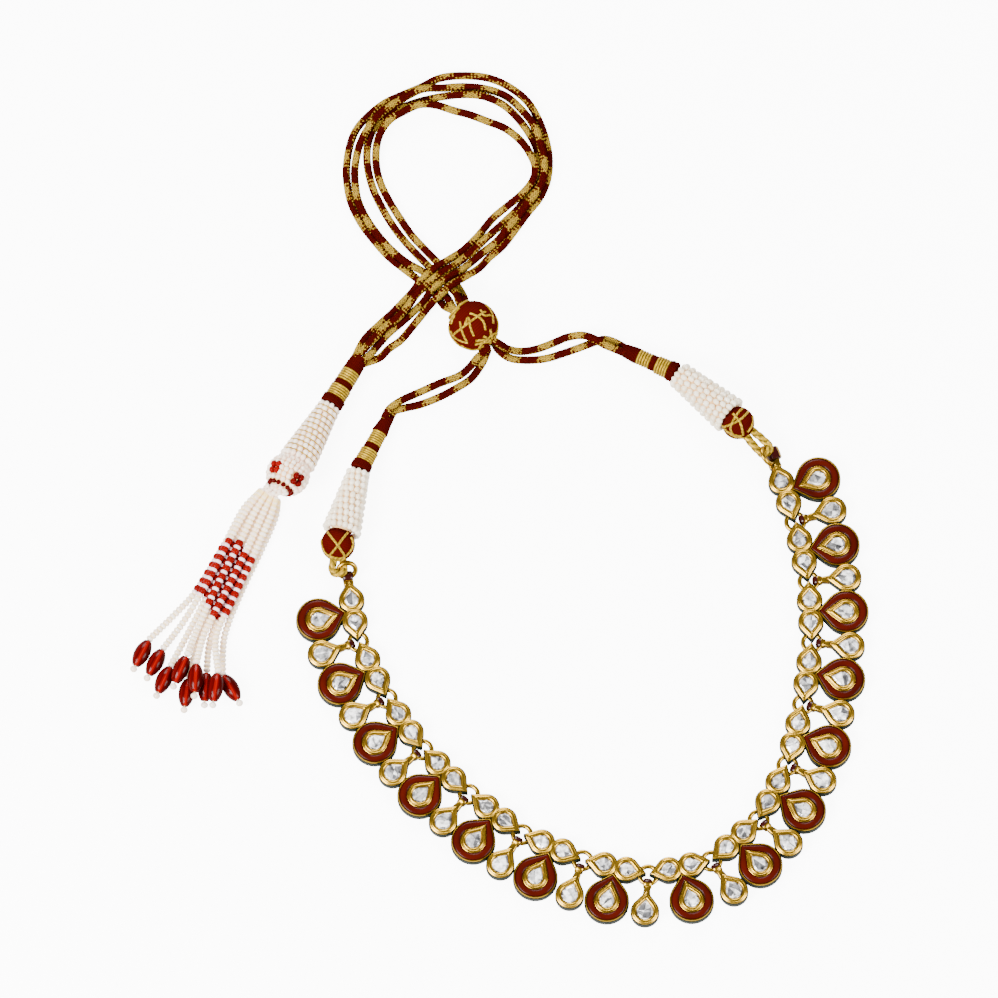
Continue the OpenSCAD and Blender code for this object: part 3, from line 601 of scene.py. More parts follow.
# %% Stacks of outlines
def stack(bm, rings):
    """rings: (outline, height, material of the band that ends here). Closed below and on top."""
    before = set(bm.faces)
    below = None
    for outline, height, material in rings:
        verts = [bm.verts.new((p.x, p.y, height)) for p in outline]
        loop = [bm.edges.new((a, b)) for a, b in zip(verts, verts[1:] + verts[:1])]
        band = bmesh.ops.bridge_loops(bm, edges=below + loop)["faces"] if below else [
            bm.faces.new(verts)]
        paint(bm, band, material)
        below = loop
    lid = bm.faces.new(verts)
    paint(bm, [lid], material)
    bmesh.ops.recalc_face_normals(bm, faces=added(bm, before)[0])
    return lid

def copy_into(bm, model, place):
    """Adds a placed copy of a small mesh to bm."""
    moved = model.copy()
    moved.transform(place)
    bm.from_mesh(moved)
    bpy.data.meshes.remove(moved)

def model_of(make):
    """A small mesh that is only there to be copied."""
    bm = new_bmesh()
    make(bm)
    return to_mesh(bm, "model")

# %% Cup, plate and bezel
GOLD, DARK, MAROON = 0, 1, 2

def lip(r, h, base, top, wide):
    """Wall from base to top, then a lip of that width that rolls in over the stone."""
    steps = ((0.02, base, DARK), (-0.15, base + 0.12, DARK), (-0.15, top - 0.68, DARK),
             (0.02, top - 0.6, DARK), (0.0, top - 0.48, GOLD), (0.08, top - 0.28, GOLD),
             (0.24 * wide, top - 0.13, GOLD), (0.34 * wide, top - 0.17, GOLD),
             (0.46 * wide, top - 0.03, GOLD), (0.62 * wide, top, GOLD),
             (0.78 * wide, top - 0.10, GOLD), (0.93 * wide, top - 0.33, GOLD),
             (wide, top - 0.62, GOLD), (wide + 0.02, top - 0.9, GOLD))
    return [(pointed_outline(r, h, inset), height, material) for inset, height, material in steps]

plate_steps = ((0.02, 0.0, DARK), (-0.15, 0.12, DARK), (-0.15, 2.42, DARK), (0.02, 2.5, DARK),
               (0.0, 2.6, GOLD), (0.03, 2.82, GOLD), (0.13, 2.97, GOLD), (0.26, 3.0, GOLD),
               (0.36, 2.9, GOLD), (0.40, 2.4, GOLD))
PLATE, BEZEL, SMALL, DROP = (5.7, 7.55), (3.2, 5.4), (3.27, 5.1), (3.62, 5.5)  # radius, point
small_model = model_of(lambda bm: stack(bm, lip(*SMALL, 0.0, 3.3, 1.52)))
drop_model = model_of(lambda bm: stack(bm, lip(*DROP, 0.0, 3.2, 1.5)))
bezel_model = model_of(lambda bm: stack(bm, [
    (outline, height, GOLD) for outline, height, _ in lip(*BEZEL, 1.9, 3.4, 1.3)]))
plate_model = model_of(lambda bm: stack(bm, [
    (pointed_outline(*PLATE, inset), height, material) for inset, height, material in plate_steps]))
print("cup faces:", len(small_model.polygons))

# %% Bails
def bail_band(bm, place, inward, hole, outer, wide, enamelled=0.1):
    """A turned barrel round the ring's wire. Faces further inward than enamelled are enamel."""
    r, w = hole / 2, wide / 2
    profile = [(r, -w + 0.1), (r + 0.15, -w), (outer - 0.3, -w + 0.02), (outer - 0.08, -w + 0.25),
               (outer, -w / 3), (outer, w / 3), (outer - 0.08, w - 0.25), (outer - 0.3, w - 0.02),
               (r + 0.15, w), (r, w - 0.1), (r, -w + 0.1)]
    faces = turn_profile(bm, place, profile, GOLD, around=32)
    centre = place.translation
    for f in faces:
        if (f.calc_center_median() - centre).dot(inward) > enamelled:
            paint(bm, [f], MAROON)

def neck(bm, place, length, wide, high, flare=1.0):
    """A rounded block; its lower end may be wider."""
    got = bmesh.ops.create_cube(bm, size=1)
    for v in got["verts"]:
        v.co.x *= flare if v.co.y < 0 else 1.0
    bmesh.ops.transform(bm, matrix=place @ Matrix.Diagonal((wide, length, high, 1)),
                        verts=got["verts"])
    edges, faces = linked(got["verts"])
    paint(bm, faces, GOLD)
    bmesh.ops.bevel(bm, geom=edges, offset=0.42, segments=4, affect="EDGES", profile=0.5,
                    material=-1)

# Each end ring: its low point, turn and tilt
left_end = (Vector((-39.6, 10.25, 1.6)), -83, 49)
right_end = (Vector((70.6, 42.95, 1.45)), 22, 58)

def end_bail(bm, end, tip, outer, wide, lift):
    """The band that an end ring passes through, with the neck that joins it to its unit."""
    spot, turn, _ = end
    band = at(*spot + Vector(lift)) @ rotated(turn) @ rotated(90, "X")
    bail_band(bm, band, -heading(turn), 1.6, outer, wide, -0.7 * outer)
    d = Vector((tip.x - spot.x, tip.y - spot.y, 0))
    mid = at(*Vector((spot.x, spot.y, 1.35)) + d * 0.5 + d.normalized() * 0.75)
    neck(bm, mid @ d.to_track_quat("Y", "Z").to_matrix().to_4x4(), d.length + 0.3, wide - 0.1, 2.2)

# %% Fifteen soldered units
TILT, SHRINK = 1.5, 0.012  # degrees, and part of the size

def by_hand(place):
    """A placed matrix, turned and scaled a touch, as handwork comes out."""
    return place @ rotated(chance.uniform(-TILT, TILT)) @ Matrix.Diagonal(
        (1 - chance.uniform(0, SHRINK), 1 - chance.uniform(0, SHRINK), 1, 1))

plates = [plate_place(i) for i in range(15)]
settings = [by_hand(setting_place(i, side)) for i in range(15) for side in (-1, 1)]
drops = [by_hand(drop_place(i) @ at(0, -DROP_OUT)) for i in range(1, 15)]
for i in range(15):
    bm = new_bmesh()
    for model, place in ((small_model, settings[2 * i]), (small_model, settings[2 * i + 1]),
                         (plate_model, plates[i]), (bezel_model, plates[i])):
        copy_into(bm, model, place)
    bead(bm, unit_place(i) @ Vector((0, -1.7, 1.35)), (0, 0, 1), 2.5, 2.6, GOLD, around=16, down=8)
    half_play = units[i][1] / 2 * heading(units[i][0])
    if i == 0:
        end_bail(bm, left_end, joints[0] + half_play, 1.6, 2.7, (0, 0, 0.1))
    if i == 14:
        end_bail(bm, right_end, joints[15] - half_play, 1.95, 3.3, (0.4, 0.4, 0.5))
    make_piece(bm, "gold_unit_%02d" % (i + 1), [gold, side_enamel, bail_enamel],
               ["unit_%02d" % (i + 1)], 38)

# %% [markdown]
# ## Enamel bands
#
# The band round each large stone is enamel fused into a sunk channel. It swells a
# little between the two gold walls and dips where it meets them; there its colour is
# darker, as painted shade. It is built from a stack of outlines between the channel's
# outer edge and the bezel's.

# %% Enamel
def enamel_band(bm):
    outer, inner = pointed_outline(*PLATE, 0.37), pointed_outline(*BEZEL, -0.02)
    swell = [(0.0, 2.2), (0.0, 2.66), (0.06, 2.84), (0.16, 2.97), (0.30, 3.06), (0.48, 3.09),
             (0.66, 3.04), (0.80, 2.95), (0.92, 2.82), (1.0, 2.7), (1.0, 2.2)]
    stack(bm, [(between(outer, inner, t), height, 0) for t, height in swell])
    # Painted shade: the lower the face, the darker its colour.
    mark(bm, bm.faces, "tone",
         lambda f: min(1.0, max(0.0, (f.calc_center_median().z - 2.8) / 0.25)))

enamel_model = model_of(enamel_band)
bm = new_bmesh()
for place in plates:
    copy_into(bm, enamel_model, place)
make_piece(bm, "enamel_bands", [red_enamel], ["enamel"], 60)

# %% [markdown]
# ## Flat-cut stones
#
# These stones are slices of clear stone with a polished table and irregular slopes,
# set over foil. Each is a stack of few-cornered outlines whose upper corners are
# nudged by chance. Three cuts across its table then make the facets, so no two
# stones catch the light alike. A tone per facet is painted reflection: it makes
# some facets light and some dark, as the foil behind and the room above are mirrored.

# %% Stones
# Painted reflection: light and dark tones for what each facet mirrors.
FACET_REFLECTION_TONES = (0.03, 0.12, 0.3, 0.45, 0.6, 1.0, 1.0)  # tones that a facet may have

def cut_stone(bm, place, r, h, inset, base):
    """A stone for a setting of that radius and point: inset from its outline, standing on base."""
    before = set(bm.faces)
    sides = chance.choice((7, 8, 9))
    outlines = [pointed_outline(r, h, inset + step, sides, 1) for step in (-0.12, 0.0, 0.42)]
    lid = stack(bm, [(outline, base + rise, 0) for outline, rise in zip(outlines, (0, 0.35, 0.66))])
    for v in sorted(lid.verts, key=lambda v: (round(v.co.x, 4), round(v.co.y, 4))):
        v.co += Vector([chance.uniform(*reach) for reach in ((-0.25, 0.25), (-0.25, 0.25),
                                                             (-0.12, 0.08))])
    for k in range(3):
        line = chance.uniform(0, math.pi)
        cut = [lid]
        if k:
            cut = [f for f in added(bm, before)[0] if f.normal.z > 0.8 or len(f.verts) > 4]
        edges, points = {e for f in cut for e in f.edges}, {v for f in cut for v in f.verts}
        bmesh.ops.bisect_plane(bm, geom=cut + list(edges) + list(points), dist=0.001,
                               plane_co=(chance.uniform(-0.5, 0.5), chance.uniform(-0.4, 0.8), 0),
                               plane_no=(math.cos(line), math.sin(line), 0))
    bmesh.ops.triangulate(bm, faces=[f for f in added(bm, before)[0] if len(f.verts) == 4])
    faces, verts = added(bm, before)
    bmesh.ops.transform(bm, matrix=place, verts=verts)
    # Each facet gets a painted reflection tone at random.
    mark(bm, faces, "tone", lambda f: chance.choice(FACET_REFLECTION_TONES))

for name, node, spots, outline, inset, base in (
        ("large_stones", "stones_large", plates, BEZEL, 1.2, 2.5),
        ("small_stones", "stones_small", settings, SMALL, 1.48, 2.45),
        ("drop_stones", "stones_drop", drops, DROP, 1.46, 2.35)):
    bm = new_bmesh()
    for place in spots:
        cut_stone(bm, place, *outline, inset, base)
    make_piece(bm, name, [stone], [node], 5)

# %% [markdown]
# ## Jump rings and small drops
#
# A plain wire ring joins neighbouring tips and carries a small drop between two
# plates. The ring is a circle spun round an axis. The drop is the same pointed cup
# as a setting, with a short neck and an enamelled bail that wraps the ring's wire.

# %% Jump rings
RING_R, RING_WIRE, END_RING_R, END_RING_WIRE = 2.35, 1.22, 2.25, 1.3
bm = new_bmesh()
for i in range(1, 15):
    wire_ring(bm, at(*joints[i] + Vector((0, 0, RING_Z))), RING_R, RING_WIRE)
make_piece(bm, "joint_rings", [gold], ["jump_rings"], 80)
for name, (spot, turn, tilt) in (("left_end_ring", left_end), ("right_end_ring", right_end)):
    bm = new_bmesh()
    a, t = math.radians(turn), math.radians(tilt)
    rise = Vector((math.cos(t) * math.cos(a), math.cos(t) * math.sin(a), -math.sin(t)))
    wire_ring(bm, at(*spot - END_RING_R * rise) @ rotated(turn) @ rotated(tilt, "Y"),
              END_RING_R, END_RING_WIRE)
    make_piece(bm, name.replace("end_ring", "gold_ring"), [gold], [name], 80)

# %% Small drops
for i in range(1, 15):
    bm = new_bmesh()
    place = drop_place(i)
    copy_into(bm, drop_model, drops[i - 1])
    band = place @ at(0, -RING_R, 1.42) @ rotated(90, "Y")
    bail_band(bm, band, place.to_3x3() @ Vector((0, 1, 0)), 1.5, 1.42, 2.2)
    neck(bm, place @ at(0, -4.4, 1.45), 2.6, 1.55, 2.2, 1.35)
    make_piece(bm, "gold_drop_%02d" % i, [gold, side_enamel, bail_enamel],
               ["drop_%02d" % i], 38)

# %% [markdown]
# ## Knob balls with their thread loops
#
# Each end of the chain hooks into a loop of thick metal thread that grows out of a
# ball wound with red thread. Gold threads cross over the ball. The ball is turned,
# its threads are thin tubes laid on arcs, and the loop is a twisted tube of three plies.

# %% Threads on a ball
RED_YARN, GOLD_YARN = 0, 1
view_up = Vector((0, math.sin(elevation), math.cos(elevation)))
view_back = Vector((0, -math.cos(elevation), math.sin(elevation)))

def on_ball(centre, radius, x, y):
    """The point of a ball that lies x to the right and y up of its middle in the photograph."""
    depth = math.sqrt(max(0.02, 1 - x * x - y * y))
    return centre + radius * (Vector((x, 0, 0)) + y * view_up + depth * view_back).normalized()

def rope_radius(r, twist, lobes=2, depth=0.16):
    """Radius of a rope of that many strands, which wind once round in twist times lobes."""
    return lambda turn, s: r * (1 - depth + depth * abs(math.cos(
        math.pi * (turn * lobes + s / twist))))

def laid_thread(bm, centre, radius, points, wire):
    """A gold thread pressed onto a ball through points given as for on_ball."""
    path = smooth_path([on_ball(centre, radius, x, y) for x, y in points], 0.3)
    path = [centre + radius * (p - centre).normalized() for p in path]
    # The marks paint shade between the thread's two plies.
    rolled_tube(bm, path, rope_radius(wire, 0.7), 10, GOLD_YARN,
                lambda turn, s: (0.0, 0.3 + 0.8 * abs(math.cos(math.pi * (turn * 2 + s / 1.1)))))

def wound_ball(bm, place, radius, rounds, hole=0.0, around=56):
    """A ball wound with thread: a scalloped half circle spun round its axis, bored by hole."""
    first = math.asin(hole / radius)
    profile = []
    for k in range(rounds * 4 + 1):
        a = first + (math.pi - 2 * first) * k / (rounds * 4)
        r = radius - 0.07 + 0.07 * abs(math.sin(math.pi * k / 4))
        profile.append((max(r * math.sin(a), hole), -r * math.cos(a)))
    if hole:
        profile += [(hole, profile[-1][1] - 0.3), (hole, profile[0][1] + 0.3), profile[0]]
    # Painted shade: the colour is darker between the rounds of thread.
    turn_profile(bm, place, profile, RED_YARN, around, lambda z: 0.7 + 0.4 * abs(math.sin(
        rounds * math.acos(max(-1, min(1, -z / radius))))))

# %% Axes: a cuff's wide end, its narrow end, and the end of the binding above it
axes = {
  "left": [(-41.3, 21.2, 5.3), (-36.7, 38.4, 3.5), (-29.6, 52.3, 2.1)],
  "right": [(60.1, 52.6, 5.3), (46.2, 64.6, 3.7), (32.8, 71.2, 2.1)],
  "tassel": [(-52.2, 41.5, 5.2), (-44.2, 56.0, 3.5), (-36.9, 68.4, 2.5)]
}
axes = {side: [Vector(p) for p in axis] for side, axis in axes.items()}

# %% Knobs
# Each loop: its far end, turn and slope
left_ball, right_ball = Vector((-42.1, 18.3, 4.8)), Vector((61.9, 51.0, 4.8))
left_loop = (Vector((-42.05, 11.85, 3.65)), -86, -19)
right_loop = (Vector((68.7, 44.5, 3.35)), -32, -16)

def loop_path(loop, ball, reach):
    """From inside the ball along one leg, round the bend and back along the other leg."""
    far, turn, slope = loop
    place = at(*far) @ rotated(turn) @ rotated(slope, "Y")
    bend = [place @ Vector((1.4 * math.cos(math.radians(a)), 1.5 * math.sin(math.radians(a)), 0))
            for a in range(-90, 91, 15)]
    out = (far - ball).normalized()
    wide = (bend[-1] - bend[0]).normalized()
    feet = [ball + reach * (out + s * 0.28 * wide).normalized() for s in (-1, 1)]
    return [feet[0], feet[0].lerp(bend[0], 0.5) - 0.15 * wide] + bend + [
        feet[1].lerp(bend[-1], 0.5) + 0.15 * wide, feet[1]]

left_threads = [[(-0.62, 0.72), (-0.3, 0.3), (0.0, -0.08), (0.42, -0.7)],
                [(0.55, 0.66), (0.2, 0.22), (-0.1, -0.2), (-0.5, -0.68)],
                [(0.74, 0.4), (0.86, 0.0), (0.62, -0.5), (0.0, -0.86)],
                [(-0.93, 0.25), (-0.9, -0.12), (-0.6, -0.62), (-0.2, -0.86)],
                [(-0.62, -0.58), (-0.1, -0.78), (0.4, -0.78)],
                [(-0.5, -0.7), (0.0, -0.92), (0.35, -0.86)]]
right_threads = [[(0.25, 0.85), (-0.2, 0.3), (-0.45, -0.35), (-0.2, -0.8)],
                 [(-0.3, 0.55), (0.12, 0.0), (0.3, -0.72)],
                 [(0.6, 0.66), (0.15, 0.22), (-0.45, -0.1), (-0.9, -0.25)],
                 [(-0.93, -0.15), (-0.5, -0.6), (0.2, -0.78)],
                 [(-0.8, -0.35), (-0.35, -0.72), (0.3, -0.88)],
                 [(0.85, 0.4), (0.87, 0.0), (0.55, -0.55)]]
for side, ball, loop, radius, threads in (
        ("left", left_ball, left_loop, 4.5, left_threads),
        ("right", right_ball, right_loop, 4.3, right_threads)):
    bm = new_bmesh()
    wound_ball(bm, turned(ball, axes[side][0]), radius, 24)
    for points in threads:
        laid_thread(bm, ball, radius + 0.06, points, 0.34)
    # The loop's marks paint shade between its three plies.
    rolled_tube(bm, smooth_path(loop_path(loop, ball, radius - 0.4), 0.18),
                rope_radius(1.1, 2.2, 3, 0.18), 24, GOLD_YARN,
                lambda turn, s: (0.0, 0.15 + abs(math.cos(math.pi * (turn * 3 + s / 2.2)))))
    make_piece(bm, side + "_thread_knob", [red_thread, gold_thread],
               [side + "_knob"], 70)

# %% [markdown]
# ## Cuffs of seed beads
#
# Rows of cream seed beads are sewn round a tapered core, so a cuff is a stack of
# bead rings that shrink towards the cord. One bead is a small sphere squashed along
# its hole; a loop places as many as fit side by side in each row.

# %% Cuffs
BEAD_PITCH = 1.52  # from one bead of a row to the next, in millimetres
PALE, CLOTH, LINE = 0, 1, 2

def bead_cuff(side, wide, narrow, rows, material, lead=0, thread=0.0):
    """lead adds rows before the wide end, and thread is the wire of a gold line between rows."""
    a, b = axes[side][:2]
    place = turned(a, b)
    length = (b - a).length
    step = length / rows
    bm = new_bmesh()
    turn_profile(bm, place, [(0, -0.7), (1.5, -0.7), (wide / 2 - 2.2, 1.4), (wide / 2 - 1.3, 1.9),
                             (narrow / 2 - 1.0, length - 0.3), (0, length - 0.3)], CLOTH, 32)
    for k in range(-lead, rows):
        s = (k + 0.5) / rows
        reach = wide / 2 * (1 - max(s, 0)) + narrow / 2 * max(s, 0) - 0.82
        count = round(2 * math.pi * reach / BEAD_PITCH)
        for j in range(count):
            turn = 2 * math.pi * (j + 0.5 * (k % 2) + chance.uniform(-0.08, 0.08)) / count
            ring_bead(bm, place, reach, turn, s * length + chance.uniform(-0.07, 0.07),
                      min(step * 1.1, 1.85), 1.42, PALE, chance.random())
        if thread and k < rows - 1:
            wire_ring(bm, place @ at(0, 0, (k + 1) * step), reach + 0.38, thread, LINE, 40, 8)
    make_piece(bm, side + "_bead_cuff", [material, cuff_cloth, gold_thread],
               [side + "_cuff"], 80)

bead_cuff("left", 10.5, 6.2, 10, white_beads)
bead_cuff("right", 10.5, 7.2, 10, white_beads)
bead_cuff("tassel", 10.2, 6.2, 11, pink_beads, 1, 0.3)

# %% [markdown]
# ## Thread bindings
#
# Above each cuff the cords are bound with thread, dark red and gold in turns. A
# winding is a stack of fine rounds, so its profile is a row of small arcs, turned
# round the binding's axis, and each round differs a little in width as hands leave it.

# %% Bindings
def wound_profile(start, end, radius, thread, taper):
    """A stretch of thread rounds from one height to the other, slimmer by taper at the end."""
    count = max(2, round((end - start) / thread))
    step = (end - start) / count
    profile = [(radius - thread * 0.5, start)]
    for k in range(count):
        swell = chance.uniform(-0.05, 0.07) - taper * (k / count) ** 1.5
        profile += [(radius + swell - thread * 0.62 * abs(2 * t - 1) ** 2, start + step * (k + t))
                    for t in (0.06, 0.28, 0.5, 0.72, 0.94)]
    profile.append((radius - thread * 0.5 - taper, end))
    return profile, step

# Along a binding red and gold take turns, each stretch given as parts of the length
stretches = (0.03, 0.17, 0.42, 0.53, 0.79, 1.0)
RED_WIRE = 0.34
for side, radii, gold_wire, taper in (
        ("left", (2.75, 2.45, 2.15, 2.1, 2.15), 0.66, 0.75),
        ("right", (2.75, 2.5, 2.15, 2.15, 2.2), 0.75, 0.6),
        ("tassel", (3.1, 2.85, 2.65, 2.6, 2.5), 0.7, 0.3)):
    a, b = axes[side][1:]
    place, length = turned(a, b), (b - a).length - 0.6
    bms = (new_bmesh(), new_bmesh())
    for k, (start, end, radius) in enumerate(zip(stretches, stretches[1:], radii)):
        last = k == len(radii) - 1
        start, end = start * length, end * length + (1.5 if last else 0.0)
        profile, step = wound_profile(start, end, radius, gold_wire if k % 2 else RED_WIRE,
                                      taper if last else 0.0)

        def gap_shade(z):
            """Dark between two rounds of thread, and even on the flat ends."""
            inside = start + 0.02 < z < end - 0.02
            return 0.08 + abs(math.sin(math.pi * (z - start) / step)) if inside else 0.8
        turn_profile(bms[k % 2], place, [(0, start)] + profile + [(0, end)], recess_shade=gap_shade)
    make_piece(bms[0], side + "_red_binding", [red_thread], [side + "_binding"], 80)
    make_piece(bms[1], side + "_gold_winding", [gold_thread],
               [side + "_winding"], 80)

# %% [markdown]
# ## Slider ball
#
# All four strands run through this red thread ball, which slides to set the
# necklace's length. Its hole is wide, with a rim of gold thread, and gold threads
# run over it in a zigzag from hole to hole.

# %% Slider
slider_at, slider_dir = Vector((-6.9, 76.8, 6.5)), Vector((0.658, -0.753, 0)).normalized()
slider_r, slider_hole = 6.5, 3.1
slider_place = turned(slider_at, slider_at + slider_dir)
half = math.sqrt(slider_r ** 2 - slider_hole ** 2)
bm = new_bmesh()
wound_ball(bm, slider_place, slider_r, 30, slider_hole, 64)
for height, wider, wire in ((-half, 0.2, 0.7), (half, 0.15, 0.5)):
    wire_ring(bm, slider_place @ at(0, 0, height), slider_hole + wider, wire, GOLD_YARN, 40, 10)
zigzag = [[(-0.76, -0.33), (-0.35, -0.02), (0.06, 0.29), (0.47, 0.55)],
          [(-0.53, 0.16), (-0.43, -0.29), (-0.25, -0.65)],
          [(-0.35, -0.02), (-0.2, 0.33), (-0.12, -0.08), (0.01, -0.41)],
          [(-0.14, 0.49), (0.22, 0.33), (0.41, 0.12), (0.47, -0.18)],
          [(0.49, 0.82), (0.69, 0.57), (0.78, 0.08)],
          [(-0.9, -0.22), (-0.71, -0.49), (-0.22, -0.69)],
          [(-0.73, 0.41), (-0.88, 0.06)], [(0.28, 0.62), (0.43, 0.4), (0.66, 0.42)],
          [(-0.5, -0.78), (0.0, -0.96), (0.3, -0.9)], [(-0.55, 0.7), (-0.8, 0.4), (-0.96, 0.1)],
          [(-0.97, 0.0), (-0.93, -0.3), (-0.75, -0.6), (-0.45, -0.84)],
          [(0.88, 0.36), (0.97, 0.05), (0.88, -0.35)]]
tuft = [[(0.74, -0.6), (0.4, -0.66), (0.06, -0.74)], [(0.74, -0.6), (0.45, -0.56), (0.08, -0.6)],
        [(0.74, -0.6), (0.5, -0.76), (0.2, -0.86)], [(0.74, -0.6), (0.7, -0.4), (0.66, -0.15)],
        [(0.74, -0.6), (0.86, -0.4), (0.95, -0.15)], [(0.74, -0.62), (0.55, -0.5), (0.4, -0.42)]]
for points in zigzag:
    laid_thread(bm, slider_at, slider_r + 0.05, points, 0.32)
for points in tuft:
    laid_thread(bm, slider_at, slider_r + 0.12, points, 0.36)
back = turned(slider_at, slider_at - view_back)
for k in range(7):
    a = math.radians(25 * k)
    far = [slider_at + (slider_r + 0.05) * (back.to_3x3() @ on_ring(
        Matrix(), math.sin(t), a + 0.4 * t, math.cos(t))) for t in (-1.1, -0.5, 0.1, 0.7, 1.2)]
    rolled_tube(bm, smooth_path(far, 0.5), 0.28, 8, GOLD_YARN)
make_piece(bm, "slider_thread_ball", [red_thread, gold_thread], ["slider_ball"], 70)

# %% [markdown]
# ## Bead ball
#
# The ball at the head of the tassel is netted: beads cover it in rows, cream and
# pink, with small red flowers of four beads and a row of dark red beads round the
# lower rim. A short collar of cream beads gathers the strands below.

# %% Netted ball
ball_at, ball_r = Vector((-55.1, 36.8, 5.85)), 5.2
ball_place = turned(ball_at, ball_at + axes["tassel"][1] - axes["tassel"][0])
bm = new_bmesh()
core_r, petal = ball_r - 0.2, 0.155
NET_RED = 2  # the third material here, after PALE and CLOTH
turn_profile(bm, ball_place, [(core_r * math.sin(math.pi * k / 24),
                               -core_r * math.cos(math.pi * k / 24)) for k in range(25)], CLOTH)
# Each flower: its direction from the ball's middle, and its tone
flowers = [(on_ball(Vector(), 1, -0.6, 0.38), 1.0), (on_ball(Vector(), 1, 0.46, -0.25), 0.35),
           (Vector((0.6, 0.5, -0.6)).normalized(), 1.0),
           (Vector((-0.5, -0.5, -0.7)).normalized(), 0.4)]
rows = 12
for k in range(rows):
    a = math.pi * (k + 0.5) / rows
    reach = ball_r * math.sin(a)
    count = max(3, round(2 * math.pi * reach / 1.42))
    for j in range(count):
        turn = 2 * math.pi * (j + 0.5 * (k % 2)) / count
        height = -ball_r * math.cos(a)
        out = (on_ring(ball_place, reach, turn, height) - ball_at).normalized()
        if min((out - f).length for f, tone in flowers) < 0.31:
            continue
        rim = k == 2
        ring_bead(bm, ball_place, reach, turn, height, 1.38, 1.26, NET_RED if rim else PALE,
                  0.15 if rim else chance.random())
for f, tone in flowers:
    side = f.cross(Vector((0.3, 1, 0))).normalized()
    up = f.cross(side)
    for s, t in ((-1, -1), (-1, 1), (1, -1), (1, 1)):
        spot = ball_at + (ball_r + 0.25) * (f + petal * s * side + petal * t * up).normalized()
        bead(bm, spot, side, 1.85, 1.65, NET_RED, tone, around=12, down=8)
make_piece(bm, "netted_bead_ball", [pink_beads, cuff_cloth, red_beads],
           ["bead_ball"], 80)

# %% Bead collar
collar_place = turned(ball_at, ball_at + Vector((4.9, 4.0, 2.6)))
bm = new_bmesh()
for row, (dist, reach) in enumerate(((5.75, 1.75), (6.6, 1.5))):
    for j in range(8 - row):
        turn = 2 * math.pi * (j + 0.5 * row) / (8 - row)
        ring_bead(bm, collar_place, reach, turn, -dist, 1.4, 1.25, 0, chance.random())
make_piece(bm, "bead_collar", [pink_beads], ["tassel_collar"], 80)

# %% [markdown]
# ## Tassel
#
# Nine strings of seed beads fall from the ball. Red and lilac beads take turns along
# their middle, and near the ball and at the ends the beads are pale. Each string
# ends in a long oval glass bead and a round one, on a thread of its own.

# %% Strings: their routes, and each oval bead's two ends
strand_routes = [
  [[-62.4, 33.6, 1.9], [-66, 28.3, 1.3], [-69.7, 19.2, 1], [-76.7, 7.1, 1.1], [-84, 0, 1]],
  [[-61.8, 33, 4], [-65, 28, 3], [-68.4, 20, 2.9], [-74.9, 7.3, 2.8], [-81.4, -1.6, 1]],
  [[-61.2, 32.9, 1.9], [-64, 27.6, 1], [-67.6, 19.2, 1.2], [-73.8, 6.3, 1.1], [-79.8, -3.8, 1]],
  [[-60.6, 32.2, 4], [-62.9, 27.5, 3], [-66.3, 18.6, 2.9], [-72.3, 6.5, 2.9], [-78, -4.3, 2.8]],
  [[-59.4, 31.5, 4], [-60.8, 27, 3], [-64, 17.8, 2.9], [-69.7, 5.9, 2.9], [-75.9, -4.9, 2.9]],
  [[-60, 32.2, 1.9], [-61.8, 27.5, 1.1], [-65.5, 19.2, 1], [-71.2, 6.5, 1], [-77.2, -5.4, 1]],
  [[-58.8, 31.5, 1.9], [-59.8, 27.2, 1], [-63, 18.1, 1.1], [-68.6, 6.5, 1], [-74.4, -5.5, 1.1]],
  [[-58.2, 30.8, 4], [-58.8, 26.8, 3], [-62.1, 17.3, 2.9], [-67.6, 5.1, 2.9], [-73.1, -5.9, 2.9]],
  [[-57.6, 30.8, 1.8], [-57.7, 26.7, 1], [-60.8, 17.8, 1], [-66.3, 5.7, 1], [-71, -5.4, 1]]
]
oval_ends = [
  [[-91.3, -7.1, 2.1], [-94.7, -13.8, 2.4]],
  [[-87.7, -9.6, 2.4], [-91.2, -16.3, 2.5]],
  [[-85.7, -14.1, 1.9], [-88.8, -21, 2.4]],
  [[-81.4, -12.1, 5.4], [-84.4, -18.9, 4.1]],
  [[-78.8, -14.3, 5.6], [-79.3, -21.8, 5.6]],
  [[-80.9, -17.3, 2], [-81.9, -24.7, 2.4]],
  [[-76.2, -15.8, 2.4], [-76.7, -23.2, 1.9]],
  [[-73.3, -16.8, 5.6], [-74.4, -24.2, 5.4]],
  [[-71.7, -16.4, 2], [-68.1, -23, 2.4]]
]
ovals = [(Vector(top), Vector(low)) for top, low in oval_ends]
STRING_PITCH = 1.25
PALE, RED, CORE, LILAC = 0, 1, 2, 3
tassel_run = Vector((0.42, 0.9, 0)).normalized()
ORIGIN_U, ORIGIN_V = 500, 617  # the photograph's pixel of the origin
FIELD_LEFT, FIELD_RIGHT, FIELD_TOP, FIELD_FOOT = 190, 254, 541, 620  # in such pixels

def bead_kind(p, number):
    """Red and lilac rows take turns in a slanting field; the other beads are pale."""
    u, v = ORIGIN_U + p.x / PIXEL, ORIGIN_V - p.dot(view_up) / PIXEL
    upper = FIELD_TOP + 1.6 * max(0, u - FIELD_RIGHT + 14)
    lower = min(FIELD_FOOT, FIELD_FOOT - 30 + (u - FIELD_LEFT))
    if number == 8 or u >= FIELD_RIGHT or not upper < v < lower:
        return PALE
    return LILAC if math.floor(p.dot(tassel_run) / STRING_PITCH) % 2 else RED

